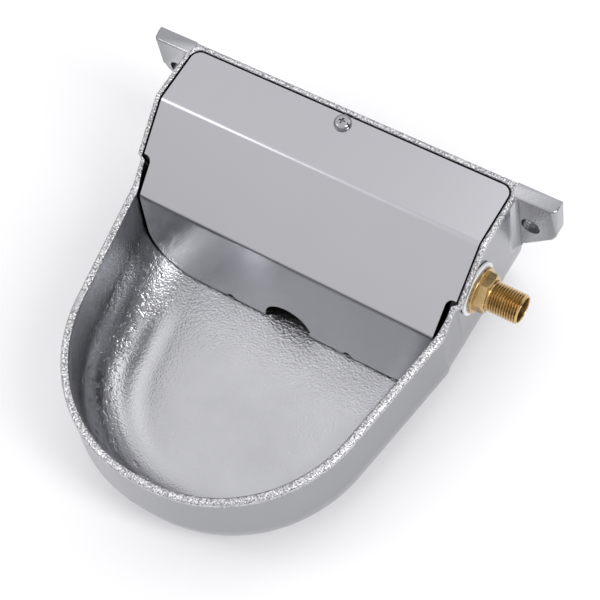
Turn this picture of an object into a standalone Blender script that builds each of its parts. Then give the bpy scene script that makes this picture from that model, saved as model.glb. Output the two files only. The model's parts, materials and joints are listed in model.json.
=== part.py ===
"""Float drinking bowl: a cast aluminium bowl, a folded stainless cover and a brass float valve.

Metres, +Z up. The origin lies on the wall face, in the middle of the bowl's width and at the
height of the bolt slots. +X is the inlet side and -Y the drinking side. Heights are given above
the flat base and turned into the part's own levels by up().
"""

import math

import bmesh
import bpy
from mathutils import Matrix, Vector

# Clearances
GAP = 0.0003
RUNNING_GAP = 0.0004

# Float chamber at the rear of the casting
CHAMBER_HALF = 0.1250
CHAMBER_WALL = 0.0055
BACK_WALL = 0.0060
BACK_LIP = 0.0038
BACK_CORNER = 0.0030
LIP_SETBACK = 0.0007
LIP_WIDTH = 0.0035
LIP_CORNER = 0.0080
LIP_HALF = CHAMBER_HALF - LIP_SETBACK
JOG_START = -0.0820
JOG_LENGTH = 0.0030
JOG_END = JOG_START - JOG_LENGTH
JOG_STEP = 0.0036

# Wall plate of the casting, with an ear and a bolt slot at each side
EAR_WIDTH = 0.0308
PLATE_HALF_WIDTH = CHAMBER_HALF + EAR_WIDTH
PLATE_THICKNESS = 0.0105
PLATE_TOP = 0.1254
EAR_SIDE_FOOT = 0.0915
EAR_SLOPE = math.radians(48.0)
EAR_PLAN_ROUND = 0.0035
EAR_LOWER_ROUND = 0.0080
EAR_EDGE_ROUND = 0.0008
EAR_FILLET = 0.0055
EAR_FILLET_DROP = 0.0012
RIGHT_SLOT_EDGE = 0.0183
LEFT_SLOT_EDGE = 0.0134
SLOT_HEIGHT = 0.0950
SLOT_WIDTH = 0.0130
SLOT_LENGTH = 0.0160

# Bowl in front of it, drawn by the inner edge of its rim
RIM_HEIGHT = 0.0856
RIM_NARROWING = 0.0065
RIM_HALF = CHAMBER_HALF - RIM_NARROWING
RIM_TAPER = math.radians(9.3)
RIM_TAPER_FROM = -0.1040
RIM_CORNER = 0.1000
RIM_FRONT_RADIUS = 0.3000
RIM_FRONT = -0.2728
BEAD_WIDTH = 0.0055
BEAD_ROUND = 0.0016
BEAD_DEPTH = 0.0042
BEAD_RUNOUT = 0.0014
BEAD_OVERHANG = 0.0006
LEDGE_RUNOUT = 0.0020
RIM_DEPTH = 0.0090
BELLY_FLARE = 0.0018
FRONT_FLARE = 0.0040
WALL = 0.0058
FLOOR = 0.0060
BASE_ROUND = 0.0450
BACK_ROUND = 0.0120
FLOOR_ROUND = 0.0395
BACK_FLOOR_ROUND = 0.0200

# Folded cover
SHEET = 0.0015
COVER_DROP = 0.0016
COVER_SIDE_GAP = 0.0010
COVER_REAR_GAP = 0.0005
COVER_CORNER = 0.0070
COVER_BEND_Y = -0.0484
COVER_FOLD_REACH = 0.0560
COVER_FOLD_Y = COVER_BEND_Y - COVER_FOLD_REACH
COVER_FOLD_HEIGHT = 0.0818
COVER_SLOPE = math.atan2(PLATE_TOP - COVER_DROP - COVER_FOLD_HEIGHT, COVER_FOLD_REACH)
BAFFLE_REACH = 0.0127
COVER_FOOT_Y = COVER_FOLD_Y - BAFFLE_REACH
BEND_RADIUS = 0.0040
FOLD_RADIUS = 0.0050
BAFFLE_SIDE_GAP = 0.0017
BAFFLE_HALF = RIM_HALF - BAFFLE_SIDE_GAP
BAFFLE_CORNER = 0.0370
BAFFLE_FLOOR_GAP = 0.0026
NOTCH_OUTER_ROUND = 0.0012
NOTCH_INNER_ROUND = 0.0042
MOUSE_HOLE_RADIUS = 0.0195
NICK_PLACE = 0.0490
NICK_WIDTH = 0.0040
NICK_HEIGHT = 0.0035

# Cover screw, an M6 pan head
SCREW_Y = -0.0110
SCREW_RADIUS = 0.0030
SCREW_LENGTH = 0.0180
SCREW_HEAD_RADIUS = 0.0061
SCREW_HEAD_HEIGHT = 0.0034
SCREW_DIMPLE = 0.0012
RECESS_WIDTH = 0.0015
RECESS_REACH = 0.0030
RECESS_DEPTH = 0.0018
BOSS_RADIUS = 0.0075
BOSS_LENGTH = 0.0260

# Float valve, turned about one axis that runs along X and placed by the inside of the side wall
VALVE_Y = -0.0612
WALL_INSIDE = CHAMBER_HALF - CHAMBER_WALL
TAIL_RADIUS = 0.01045
TAIL_LENGTH = 0.0343
TAIL_END = CHAMBER_HALF + TAIL_LENGTH
TAIL_BORE = 0.0083
TAIL_CHAMFER = 0.0011
BODY_FLANGE_RADIUS = 0.0160
BODY_FLANGE = 0.0030
GASKET = 0.0014
WASHER = 0.0020
WASHER_RADIUS = 0.0189
WASHER_RIM_GAP = 0.00086
RIM_AT_VALVE = PLATE_TOP - math.tan(COVER_SLOPE) * (COVER_BEND_Y - VALVE_Y)
WASHER_TO_RIM = (WASHER_RADIUS + WASHER_RIM_GAP) / math.cos(COVER_SLOPE)
VALVE_HEIGHT = RIM_AT_VALVE - BEAD_DEPTH - BEAD_RUNOUT - WASHER_TO_RIM
NUT_FLANGE_RADIUS = 0.0163
NUT_FLANGE = 0.0022
NUT_HEX = 0.0250
NUT_TURN = 100.0
NUT_CROWN = 0.0012
NUT_CROWN_INSET = 0.0004
NUT_LENGTH = 0.0092
BARREL_RADIUS = 0.0120
BARREL_LENGTH = 0.0535
BARREL_END = WALL_INSIDE - BARREL_LENGTH
BARREL_BORE = 0.0077
SEAT_SETBACK = 0.0075
SEAT_SHOULDER = WALL_INSIDE - SEAT_SETBACK
SEAT_PASSAGE = 0.0045
THROAT_LENGTH = 0.0025
THROAT_TAPER = 0.0060
SEAT_LENGTH = 0.0068
SEAT_FACE = SEAT_SHOULDER - SEAT_LENGTH
SEAT_LIP = 0.0012
SEAT_LIP_RADIUS = 0.0040
SEAT_ORIFICE = 0.0025
SEAL_WIDTH = 0.0016
SEAL_GROOVE = 0.0018
END_CAP_RADIUS = 0.0130
END_CAP = 0.0052
END_CAP_SPIGOT = 0.0030
TURNED_EDGE = 0.0008

# Piston that presses a rubber washer on the seat
PISTON_REST_GAP = 0.0010
PISTON_START = BARREL_END + END_CAP_SPIGOT + PISTON_REST_GAP
PISTON_BODY = 0.0240
PISTON_SPIGOT_RADIUS = 0.0049
PISTON_CAP = 0.0066
PISTON_CAP_LIP = 0.0010
PISTON_CAP_MOUTH = 0.0044
PISTON_WASHER = 0.0021

# Lever on a pin below the barrel; at rest the float hangs at its lower stop
PIN_SETBACK = 0.0120
PIN_X = BARREL_END + PIN_SETBACK
PIN_DROP = 0.0175
PIN_RADIUS = 0.0020
PIN_HEAD_RADIUS = 0.0035
PIN_HEAD = 0.0014
LUG_INNER = 0.0046
LUG = 0.0040
LUG_RADIUS = 0.0058
EYE_RADIUS = 0.0050
NOSE_LENGTH = 0.0120
NOSE_RADIUS = 0.0023
NOSE_HALF = 0.0027
ARM_HALF_HEIGHT = 0.0033
SOCKET_RADIUS = 0.0060
SOCKET_LENGTH = 0.0180
SOCKET_TAPER = 0.0030
ARM_REACH = 0.0400
SOCKET_DEPTH = 0.0120
CLIP_THICKNESS = 0.0008
CLIP_RADIUS = 0.0040
PIN_TAIL = 0.0012

# Float on its threaded rod, measured with the arm level
ROD_RADIUS = 0.0030
LOCK_NUT_HEX = 0.0100
LOCK_NUT = 0.0050
FLOAT_REACH = 0.0730
FLOAT_END_GAP = 0.0245
FLOAT_LENGTH = PIN_X - FLOAT_REACH + WALL_INSIDE - FLOAT_END_GAP
FLOAT_WIDTH = 0.0620
FLOAT_BELOW = 0.0220
FLOAT_ABOVE = 0.0140
SEAM_BELOW = 0.0110
FLOAT_ROUND = 0.0110
FLOAT_WALL = 0.0018
FLOAT_RIM = 0.0022
INSERT_RADIUS = 0.0060
INSERT_FLANGE_RADIUS = 0.0078
INSERT_FLANGE = 0.0020
INSERT_LENGTH = 0.0140
INSERT_END = 0.0020

# The float's lower stop is a gap above the floor, and the valve is shut when its arm is level
FLOAT_FLOOR_GAP = 0.0045
FLOAT_FALL = VALVE_HEIGHT - PIN_DROP - FLOOR - FLOAT_FLOOR_GAP
FLOAT_SPAN = FLOAT_REACH + FLOAT_LENGTH
FLOAT_CORNER_ANGLE = math.atan2(FLOAT_BELOW, FLOAT_SPAN)
FLOAT_TRAVEL = math.asin(FLOAT_FALL / math.hypot(FLOAT_SPAN, FLOAT_BELOW)) - FLOAT_CORNER_ANGLE

# Facets
ROUND_STEPS = 32
SMALL_STEPS = 20
ARC_STEPS = 11
FRONT_STEPS = 4
ROUND_ROWS = 7
BEND_STEPS = 4
SMOOTH_ANGLE = math.radians(32.0)

VALVE_AXIS = Vector((0.0, VALVE_Y, VALVE_HEIGHT - SLOT_HEIGHT))
PIN = Vector((PIN_X, VALVE_Y, VALVE_HEIGHT - PIN_DROP - SLOT_HEIGHT))


def up(height):
    """A level in the part's frame, from a height above the base."""
    return height - SLOT_HEIGHT


def clear_scene():
    for old in list(bpy.data.objects):
        bpy.data.objects.remove(old)


def material(name, colour, roughness, metallic):
    made = bpy.data.materials.new(name)
    made.use_nodes = True
    shader = made.node_tree.nodes["Principled BSDF"]
    shader.inputs["Base Color"].default_value = (*colour, 1.0)
    shader.inputs["Roughness"].default_value = roughness
    shader.inputs["Metallic"].default_value = metallic
    return made


def add_object(name, bm, finish, parent=None):
    """One object from a bmesh in the part's frame, or in its parent empty's frame."""
    mesh = bpy.data.meshes.new(name)
    bm.to_mesh(mesh)
    bm.free()
    mesh.shade_smooth()
    mesh.set_sharp_from_angle(angle=SMOOTH_ANGLE)
    if finish:
        mesh.materials.append(finish)
    made = bpy.data.objects.new(name, mesh)
    bpy.context.scene.collection.objects.link(made)
    made.parent = parent
    return made


def boolean(target, operation, tool_bm, name):
    """Join a helper shape to the target, or cut it away."""
    tool = add_object(name, tool_bm, None, target.parent)
    tool.hide_render = True
    tool.display_type = "WIRE"
    step = target.modifiers.new(name, "BOOLEAN")
    step.operation = operation
    step.object = tool


def add_empty(name, location, turn=0.0):
    empty = bpy.data.objects.new(name, None)
    empty.location = location
    empty.rotation_euler = (0.0, turn, 0.0)
    bpy.context.scene.collection.objects.link(empty)
    return empty


def arc(centre, radius, start, end, steps):
    """Points on a circle, from one angle to another in degrees, both ends included."""
    angles = [math.radians(start + (end - start) * i / steps) for i in range(steps + 1)]
    return [(centre[0] + radius * math.cos(a), centre[1] + radius * math.sin(a)) for a in angles]


def turned(profile, steps=ROUND_STEPS, place=(0.0, 0.0, 0.0)):
    """A solid turned about a line along X through place, from a closed profile of (x, radius)."""
    bm = bmesh.new()
    points = [bm.verts.new((x, 0.0, radius)) for x, radius in profile]
    pairs = zip(points, points[1:] + points[:1])
    edges = [bm.edges.new(pair) for pair in pairs if max(v.co.z for v in pair) > 0]
    bmesh.ops.spin(bm, geom=points + edges, cent=(0, 0, 0), axis=(1, 0, 0), angle=math.tau, steps=steps)
    bmesh.ops.remove_doubles(bm, verts=bm.verts, dist=1e-7)
    bmesh.ops.recalc_face_normals(bm, faces=bm.faces)
    bmesh.ops.translate(bm, verts=bm.verts, vec=place)
    return bm


def ring_profile(start, end, inner, outer):
    return [(start, inner), (start, outer), (end, outer), (end, inner)]


def prism(outline, axis, low, high):
    """An outline in the plane across one axis, pushed from low to high along that axis."""
    bm = bmesh.new()
    order = {"X": (2, 0, 1), "Y": (0, 2, 1), "Z": (0, 1, 2)}[axis]
    verts = [bm.verts.new([(a, b, low)[k] for k in order]) for a, b in outline]
    face = bm.faces.new(verts)
    grown = bmesh.ops.extrude_face_region(bm, geom=[face])
    moved = [item for item in grown["geom"] if isinstance(item, bmesh.types.BMVert)]
    push = [0.0, 0.0, 0.0]
    push["XYZ".index(axis)] = high - low
    bmesh.ops.translate(bm, verts=moved, vec=push)
    bmesh.ops.recalc_face_normals(bm, faces=bm.faces)
    return bm


def merge(*parts):
    """Several closed shapes that don't touch, as one helper mesh."""
    whole = bmesh.new()
    for bm in parts:
        mesh = bpy.data.meshes.new("helper")
        bm.to_mesh(mesh)
        bm.free()
        whole.from_mesh(mesh)
        bpy.data.meshes.remove(mesh)
    return whole


def hexagon(across_flats, corner_angle):
    radius = across_flats / math.sqrt(3.0)
    angles = [math.radians(corner_angle + 60.0 * i) for i in range(6)]
    return [(radius * math.cos(a), radius * math.sin(a)) for a in angles]


# Casting


def rim_profile(y):
    """Height of the rim beside the cover: level, then down with the cover's front panel to the bowl."""
    slope_height = PLATE_TOP - math.tan(COVER_SLOPE) * (COVER_BEND_Y - y)
    return min(PLATE_TOP, max(RIM_HEIGHT, slope_height))


def ledge_drop(y):
    """Drop of the ledge below the rim: it carries the sheet, which is deeper upright on the slope."""
    across = SHEET if y > COVER_BEND_Y + GAP else SHEET / math.cos(COVER_SLOPE)
    return COVER_DROP + across + GAP


def rim_stations():
    """Places along the side wall that carry the rim's bends and its jog, from rear to front."""
    level_again = COVER_BEND_Y - (PLATE_TOP - RIM_HEIGHT) / math.tan(COVER_SLOPE)
    middle = (JOG_START + JOG_END) / 2
    return [-0.0300, COVER_BEND_Y, JOG_START, middle, JOG_END, level_again, RIM_TAPER_FROM]


def bowl_line(y, offset):
    """Half width on the bowl's tapered side, at an offset outside the rim's inner edge."""
    return RIM_HALF + offset / math.cos(RIM_TAPER) + (y - RIM_TAPER_FROM) * math.tan(RIM_TAPER)


def side_half(y, rear_half, offset, step):
    """Half width beside the chamber, which the jog narrows by a step on its way to the bowl."""
    if y >= JOG_START:
        return rear_half
    ahead = min(rear_half - step, bowl_line(y, offset))
    if y <= JOG_END:
        return ahead
    return (rear_half + ahead) / 2


def front_curve(offset, front):
    """The bowl's nose: a corner arc tangent to the tapered side, then a flatter front arc."""
    normal = Vector((math.cos(RIM_TAPER), -math.sin(RIM_TAPER)))
    along = Vector((-math.sin(RIM_TAPER), -math.cos(RIM_TAPER)))
    corner = RIM_CORNER + offset
    wide = RIM_FRONT_RADIUS + offset
    start = Vector((bowl_line(RIM_TAPER_FROM, offset), RIM_TAPER_FROM))
    hub = Vector((0.0, front + wide))
    to_hub = start - corner * normal - hub
    half_b = to_hub.dot(along)
    reach = -half_b + math.sqrt(half_b**2 - to_hub.length_squared + (wide - corner) ** 2)
    centre = start - corner * normal + reach * along
    meet = math.degrees(math.atan2(centre.y - hub.y, centre.x - hub.x))
    points = arc(centre, corner, -math.degrees(RIM_TAPER), meet, ARC_STEPS)
    return points + arc(hub, wide, meet, -90.0, FRONT_STEPS)[1:]


def casting_row(rear_half, back, corner, offset, front_extra=0.0, step=0.0):
    """Right half of one outline of the casting, from the middle of the back to the nose."""
    hub = (rear_half - corner, back - corner)
    points = [(0.0, back)] + arc(hub, corner, 90.0, 0.0, 3)
    points += [(side_half(y, rear_half, offset, step), y) for y in rim_stations()]
    return points + front_curve(offset, RIM_FRONT - offset - front_extra)


def round_inset(height, radius):
    """How far a rounded foot of this radius stands back at a height above its flat."""
    if height >= radius:
        return 0.0
    return radius - math.sqrt(radius**2 - (radius - height) ** 2)


def lower_rows(base, round_side, round_back, wall_half, back, offset):
    """Rows of a rounded foot, from its flat up to the wall."""
    rows = []
    for k in range(ROUND_ROWS + 1):
        height = round_side * (1 - math.cos(math.radians(90.0 * k / ROUND_ROWS)))
        inset = round_inset(height, round_side)
        stand_back = round_inset(height, round_back)
        row = casting_row(wall_half - inset, back - stand_back, BACK_CORNER, offset - inset, FRONT_FLARE)
        rows.append([(x, y, up(base + height)) for x, y in row])
    return rows


def rim_row(rear_half, back, corner, offset, drop, step=0.0):
    """A row that follows the rim at one drop below it."""
    outline = casting_row(rear_half, back, corner, offset, step=step)
    return [(x, y, up(rim_profile(y) - drop)) for x, y in outline]


def ledge_row(half, back, runout, step=0.0):
    """An edge of the ledge that the cover lies on, which runs out into the wall past the jog."""
    points = []
    for x, y in casting_row(half, back, LIP_CORNER, 0.0, step=step):
        drop = ledge_drop(y) + (0.0 if y > JOG_END else runout)
        points.append((x, y, up(rim_profile(y) - drop)))
    return points


def bead_rows():
    """The rim's rounded top, half an ellipse in section, from its outer edge to its inner one."""
    rows = []
    for k in range(5):
        turn = math.radians(45.0 * k)
        share = (1 + math.cos(turn)) / 2
        half = LIP_HALF + LIP_WIDTH * share
        back = BACK_LIP * (share - 1)
        corner = BACK_CORNER if k < 3 else LIP_CORNER
        drop = BEAD_ROUND * (1 - math.sin(turn))
        rows.append(rim_row(half, back, corner, BEAD_WIDTH * share, drop, JOG_STEP))
    return rows


def casting_rows():
    belly = BEAD_WIDTH + BELLY_FLARE
    outside = lower_rows(0.0, BASE_ROUND, BACK_ROUND, CHAMBER_HALF, 0.0, belly)
    inside = lower_rows(FLOOR, FLOOR_ROUND, BACK_FLOOR_ROUND, WALL_INSIDE, -BACK_WALL, belly - WALL)
    lip_outside = LIP_HALF + LIP_WIDTH
    wall_width = BEAD_WIDTH - BEAD_OVERHANG
    wall_step = CHAMBER_HALF - lip_outside + BEAD_OVERHANG + JOG_STEP
    under_bead = [
        rim_row(CHAMBER_HALF, 0.0, BACK_CORNER, wall_width, BEAD_DEPTH + BEAD_RUNOUT, wall_step),
        rim_row(lip_outside, 0.0, BACK_CORNER, BEAD_WIDTH, BEAD_DEPTH, JOG_STEP),
    ]
    ledge = [
        ledge_row(LIP_HALF, -BACK_LIP, 0.0, JOG_STEP),
        ledge_row(WALL_INSIDE, -BACK_WALL, LEDGE_RUNOUT),
        rim_row(WALL_INSIDE, -BACK_WALL, LIP_CORNER, 0.0, RIM_DEPTH),
    ]
    return outside + under_bead + bead_rows() + ledge + inside[::-1]


def casting_shell():
    """Outside, rim and inside of the bowl as one loft of level and rim-following rows."""
    bm = bmesh.new()
    loops = []
    for row in casting_rows():
        left = [(-x, y, z) for x, y, z in row[-2:0:-1]]
        loops.append([bm.verts.new(point) for point in row + left])
    for lower, upper in zip(loops, loops[1:]):
        for k, vert in enumerate(lower):
            after = (k + 1) % len(lower)
            bm.faces.new((vert, lower[after], upper[after], upper[k]))
    bm.faces.new(loops[0])
    bm.faces.new(loops[-1])
    bmesh.ops.recalc_face_normals(bm, faces=bm.faces)
    return bm


def ear_slope_height(x):
    """Height of the ear's slanted foot at a place across the plate."""
    return EAR_SIDE_FOOT - (PLATE_HALF_WIDTH - x) * math.tan(EAR_SLOPE)


def ear_root():
    """Where the ears end inside the side wall, outside the lip that the cover lies in."""
    return (LIP_HALF + CHAMBER_HALF) / 2


def ear(side):
    """One ear of the wall plate, rooted inside the chamber's side wall."""
    root = ear_root()
    turn = math.degrees(math.pi / 2 - EAR_SLOPE)
    reach = EAR_LOWER_ROUND * math.tan(math.radians(90.0 - turn) / 2)
    hub = (PLATE_HALF_WIDTH - EAR_LOWER_ROUND, EAR_SIDE_FOOT + reach)
    foot = arc(hub, EAR_LOWER_ROUND, 0.0, turn - 90.0, 4)
    outline = [(root, PLATE_TOP), (PLATE_HALF_WIDTH, PLATE_TOP), *foot, (root, ear_slope_height(root))]
    bm = prism([(side * x, up(height)) for x, height in outline], "Y", -PLATE_THICKNESS, 0.0)
    corner = [
        edge
        for edge in bm.edges
        if all(abs(abs(v.co.x) - PLATE_HALF_WIDTH) < 1e-6 for v in edge.verts)
        and all(v.co.y < -PLATE_THICKNESS / 2 for v in edge.verts)
    ]
    bmesh.ops.bevel(bm, geom=corner, offset=EAR_PLAN_ROUND, segments=3, profile=0.5, affect="EDGES")
    front = [
        edge
        for edge in bm.edges
        if all(v.co.y < EAR_PLAN_ROUND - PLATE_THICKNESS for v in edge.verts)
        and not all(abs(v.co.x) < root + 1e-6 for v in edge.verts)
        and edge.calc_face_angle(0.0) > SMOOTH_ANGLE
    ]
    bmesh.ops.bevel(bm, geom=front, offset=EAR_EDGE_ROUND, segments=1, affect="EDGES")
    return bm


def ear_fillet(side):
    """Concave fillet in the corner between the ear's face and the chamber's side wall."""
    inside = ear_root()
    hub = (CHAMBER_HALF + EAR_FILLET, -PLATE_THICKNESS - EAR_FILLET)
    hollow = arc(hub, EAR_FILLET, 90.0, 180.0, 5)
    middle = -PLATE_THICKNESS / 2
    outline = [(inside, middle), (hollow[0][0], middle), *hollow, (inside, hub[1])]
    top = up(PLATE_TOP - EAR_FILLET_DROP)
    bm = prism([(side * x, y) for x, y in outline], "Z", up(ear_slope_height(inside)), top)
    cut = Vector((side * CHAMBER_HALF, 0.0, up(ear_slope_height(CHAMBER_HALF))))
    slope = Vector((side * math.sin(EAR_SLOPE), 0.0, -math.cos(EAR_SLOPE)))
    everything = bm.verts[:] + bm.edges[:] + bm.faces[:]
    bmesh.ops.bisect_plane(bm, geom=everything, plane_co=cut, plane_no=slope, clear_outer=True)
    bmesh.ops.holes_fill(bm, edges=[edge for edge in bm.edges if edge.is_boundary])
    return bm


def slot_cutter(side, edge):
    """Cutter for an upright bolt slot, its middle at this distance from the ear's end."""
    centre = side * (PLATE_HALF_WIDTH - edge)
    radius = SLOT_WIDTH / 2
    straight = (SLOT_LENGTH - SLOT_WIDTH) / 2
    upper = arc((centre, straight), radius, 0.0, 180.0, 8)
    lower = arc((centre, -straight), radius, 180.0, 360.0, 8)
    return prism(upper + lower, "Y", -2 * PLATE_THICKNESS, PLATE_THICKNESS)


def screw_boss():
    """Round boss under the rear ledge, run into the back wall, for the cover's screw."""
    top = up(PLATE_TOP - ledge_drop(0.0))
    round_front = arc((0.0, SCREW_Y), BOSS_RADIUS, 180.0, 360.0, 10)
    outline = [(BOSS_RADIUS, -BACK_WALL / 2), (-BOSS_RADIUS, -BACK_WALL / 2), *round_front]
    return prism(outline, "Z", top - BOSS_LENGTH, top)


def upright(bm, place):
    """Stand a solid turned about X on its end at a place, its +X side up."""
    bmesh.ops.rotate(bm, verts=bm.verts, matrix=Matrix.Rotation(-math.pi / 2, 3, "Y"))
    bmesh.ops.translate(bm, verts=bm.verts, vec=place)
    return bm


def make_casting(finish):
    body = add_object("bowl_casting", casting_shell(), finish)
    boolean(body, "UNION", merge(ear(1), ear(-1)), "ears")
    boolean(body, "UNION", merge(ear_fillet(1), ear_fillet(-1)), "ear_fillets")
    boolean(body, "UNION", screw_boss(), "screw_boss")
    slots = merge(slot_cutter(1, RIGHT_SLOT_EDGE), slot_cutter(-1, LEFT_SLOT_EDGE))
    boolean(body, "DIFFERENCE", slots, "bolt_slots")
    reach = 2 * CHAMBER_WALL
    inlet = ring_profile(CHAMBER_HALF - reach, CHAMBER_HALF + reach, 0.0, TAIL_RADIUS + GAP)
    boolean(body, "DIFFERENCE", turned(inlet, place=VALVE_AXIS), "inlet_hole")
    depth = SCREW_LENGTH + 2 * SHEET
    tapping = turned(ring_profile(-depth, depth, 0.0, SCREW_RADIUS + GAP), SMALL_STEPS)
    boolean(body, "DIFFERENCE", upright(tapping, screw_place()), "screw_hole")


# Cover


def fold_path():
    """The cover's upper face in side view, as (y, height) corners from its rear edge to its foot."""
    top = PLATE_TOP - COVER_DROP
    foot = FLOOR + BAFFLE_FLOOR_GAP
    return [
        Vector((-BACK_LIP - COVER_REAR_GAP, top)),
        Vector((COVER_BEND_Y, top)),
        Vector((COVER_FOLD_Y, COVER_FOLD_HEIGHT)),
        Vector((COVER_FOOT_Y, foot)),
    ]


def fold_plan():
    """Stretches of the sheet as (flat start, flat end, start point, direction angle, turn)."""
    corners = fold_path()
    directions = [(b - a).normalized() for a, b in zip(corners, corners[1:])]
    angles = [math.atan2(-d.y, -d.x) for d in directions]
    radii = [BEND_RADIUS, FOLD_RADIUS]
    plan = []
    flat = 0.0
    start = corners[0]
    for k, direction in enumerate(directions):
        trim = radii[k] * math.tan((angles[k + 1] - angles[k]) / 2) if k < 2 else 0.0
        end = corners[k + 1] - trim * direction
        length = (end - start).length
        plan.append((flat, flat + length, start, angles[k], 0.0))
        flat += length
        if k < 2:
            swing = angles[k + 1] - angles[k]
            plan.append((flat, flat + radii[k] * swing, end, angles[k], radii[k]))
            flat += radii[k] * swing
            start = corners[k + 1] + trim * directions[k + 1]
    return plan


def fold(x, flat, depth):
    """Where a point of the flat sheet comes to lie when the cover is folded."""
    for start_flat, end_flat, start, angle, radius in fold_plan():
        if flat <= end_flat + 1e-9:
            break
    ahead = flat - start_flat
    if radius:
        swing = ahead / radius
        hub = start - radius * Vector((-math.sin(angle), math.cos(angle)))
        point = hub + (radius - depth) * Vector((-math.sin(angle + swing), math.cos(angle + swing)))
        return Vector((x, point.x, up(point.y)))
    along = Vector((-math.cos(angle), -math.sin(angle)))
    point = start + ahead * along - depth * Vector((-math.sin(angle), math.cos(angle)))
    return Vector((x, point.x, up(point.y)))


def cover_outline(flat_end, notch):
    """Right half of the flat blank, from the middle of its rear edge to the middle of its foot."""
    half = LIP_HALF - COVER_SIDE_GAP
    corner = arc((half - COVER_CORNER, COVER_CORNER), COVER_CORNER, -90.0, 0.0, 6)
    outer = NOTCH_OUTER_ROUND
    inner = NOTCH_INNER_ROUND
    step_out = arc((half - outer, notch - outer), outer, 0.0, 90.0, 2)
    step_in = arc((BAFFLE_HALF + inner, notch + inner), inner, -90.0, -180.0, 5)
    foot = arc((BAFFLE_HALF - BAFFLE_CORNER, flat_end - BAFFLE_CORNER), BAFFLE_CORNER, 0.0, 90.0, 10)
    nick = [
        (NICK_PLACE + NICK_WIDTH / 2, flat_end),
        (NICK_PLACE, flat_end - NICK_HEIGHT),
        (NICK_PLACE - NICK_WIDTH / 2, flat_end),
    ]
    mouse_hole = arc((0.0, flat_end), MOUSE_HOLE_RADIUS, 0.0, -90.0, 8)
    return [(0.0, 0.0), *corner, *step_out, *step_in, *foot, *nick, *mouse_hole]


def make_cover(finish):
    """The blank is cut flat, scored at its bends, given its thickness and then folded."""
    plan = fold_plan()
    slope_flat, _, slope_start, _, _ = plan[2]
    notch = slope_flat + (slope_start.x - JOG_START + COVER_SIDE_GAP) / math.cos(COVER_SLOPE)
    right = cover_outline(plan[-1][1], notch)
    left = [(-x, flat) for x, flat in right[-2:0:-1]]
    bm = bmesh.new()
    bm.faces.new([bm.verts.new((x, flat, 0.0)) for x, flat in right + left])
    for start_flat, end_flat, _, _, radius in plan:
        steps = BEND_STEPS if radius else 1
        for k in range(1, steps + 1):
            score = start_flat + (end_flat - start_flat) * k / steps
            everything = bm.verts[:] + bm.edges[:] + bm.faces[:]
            bmesh.ops.bisect_plane(bm, geom=everything, plane_co=(0, score, 0), plane_no=(0, 1, 0))
    grown = bmesh.ops.extrude_face_region(bm, geom=bm.faces[:])
    under = [item for item in grown["geom"] if isinstance(item, bmesh.types.BMVert)]
    bmesh.ops.translate(bm, verts=under, vec=(0, 0, -SHEET))
    for vert in bm.verts:
        vert.co = fold(vert.co.x, vert.co.y, -vert.co.z)
    bmesh.ops.recalc_face_normals(bm, faces=bm.faces)
    cover = add_object("cover_plate", bm, finish)
    hole = ring_profile(-3 * SHEET, 3 * SHEET, 0.0, SCREW_RADIUS + GAP)
    boolean(cover, "DIFFERENCE", upright(turned(hole, SMALL_STEPS), screw_place()), "cover_screw_hole")


def screw_place():
    """Where the screw's head sits on the cover's upper face."""
    return Vector((0.0, SCREW_Y, up(PLATE_TOP - COVER_DROP)))


def make_screw(finish):
    crown = SCREW_HEAD_HEIGHT + GAP
    edge = crown - SCREW_DIMPLE
    profile = [
        (-SCREW_LENGTH, 0.0),
        (-SCREW_LENGTH, SCREW_RADIUS * 0.7),
        (SCREW_RADIUS * 0.5 - SCREW_LENGTH, SCREW_RADIUS),
        (GAP, SCREW_RADIUS),
        (GAP, SCREW_HEAD_RADIUS),
        (edge, SCREW_HEAD_RADIUS),
        (edge + SCREW_DIMPLE * 0.6, SCREW_HEAD_RADIUS * 0.86),
        (crown, SCREW_HEAD_RADIUS * 0.55),
        (crown, 0.0),
    ]
    screw = add_object("cover_screw", upright(turned(profile, SMALL_STEPS), screw_place()), finish)
    half = RECESS_WIDTH / 2
    reach = RECESS_REACH
    cross = [(reach, -half), (reach, half), (half, half), (half, reach), (-half, reach), (-half, half)]
    cross += [(-x, -y) for x, y in cross]
    top = screw_place().z + crown
    recess = prism([(x, SCREW_Y + y) for x, y in cross], "Z", top - RECESS_DEPTH, top + RECESS_DEPTH)
    boolean(screw, "DIFFERENCE", recess, "cross_recess")


# Valve


def make_wall_seals(nylon, rubber, brass):
    """The pieces that clamp the valve in the side wall, from the inside out."""
    bore = TAIL_RADIUS + GAP
    gasket = ring_profile(WALL_INSIDE - GAP - GASKET, WALL_INSIDE - GAP, bore, BODY_FLANGE_RADIUS)
    add_object("inner_gasket", turned(gasket, place=VALVE_AXIS), rubber)
    washer_start = CHAMBER_HALF + GAP
    washer_end = washer_start + WASHER
    edge = WASHER / 4
    washer = [
        (washer_start, bore),
        (washer_start, WASHER_RADIUS),
        (washer_end - edge, WASHER_RADIUS),
        (washer_end, WASHER_RADIUS - edge),
        (washer_end, bore),
    ]
    add_object("outer_washer", turned(washer, place=VALVE_AXIS), nylon)
    make_back_nut(brass, washer_end + GAP, bore)


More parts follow.
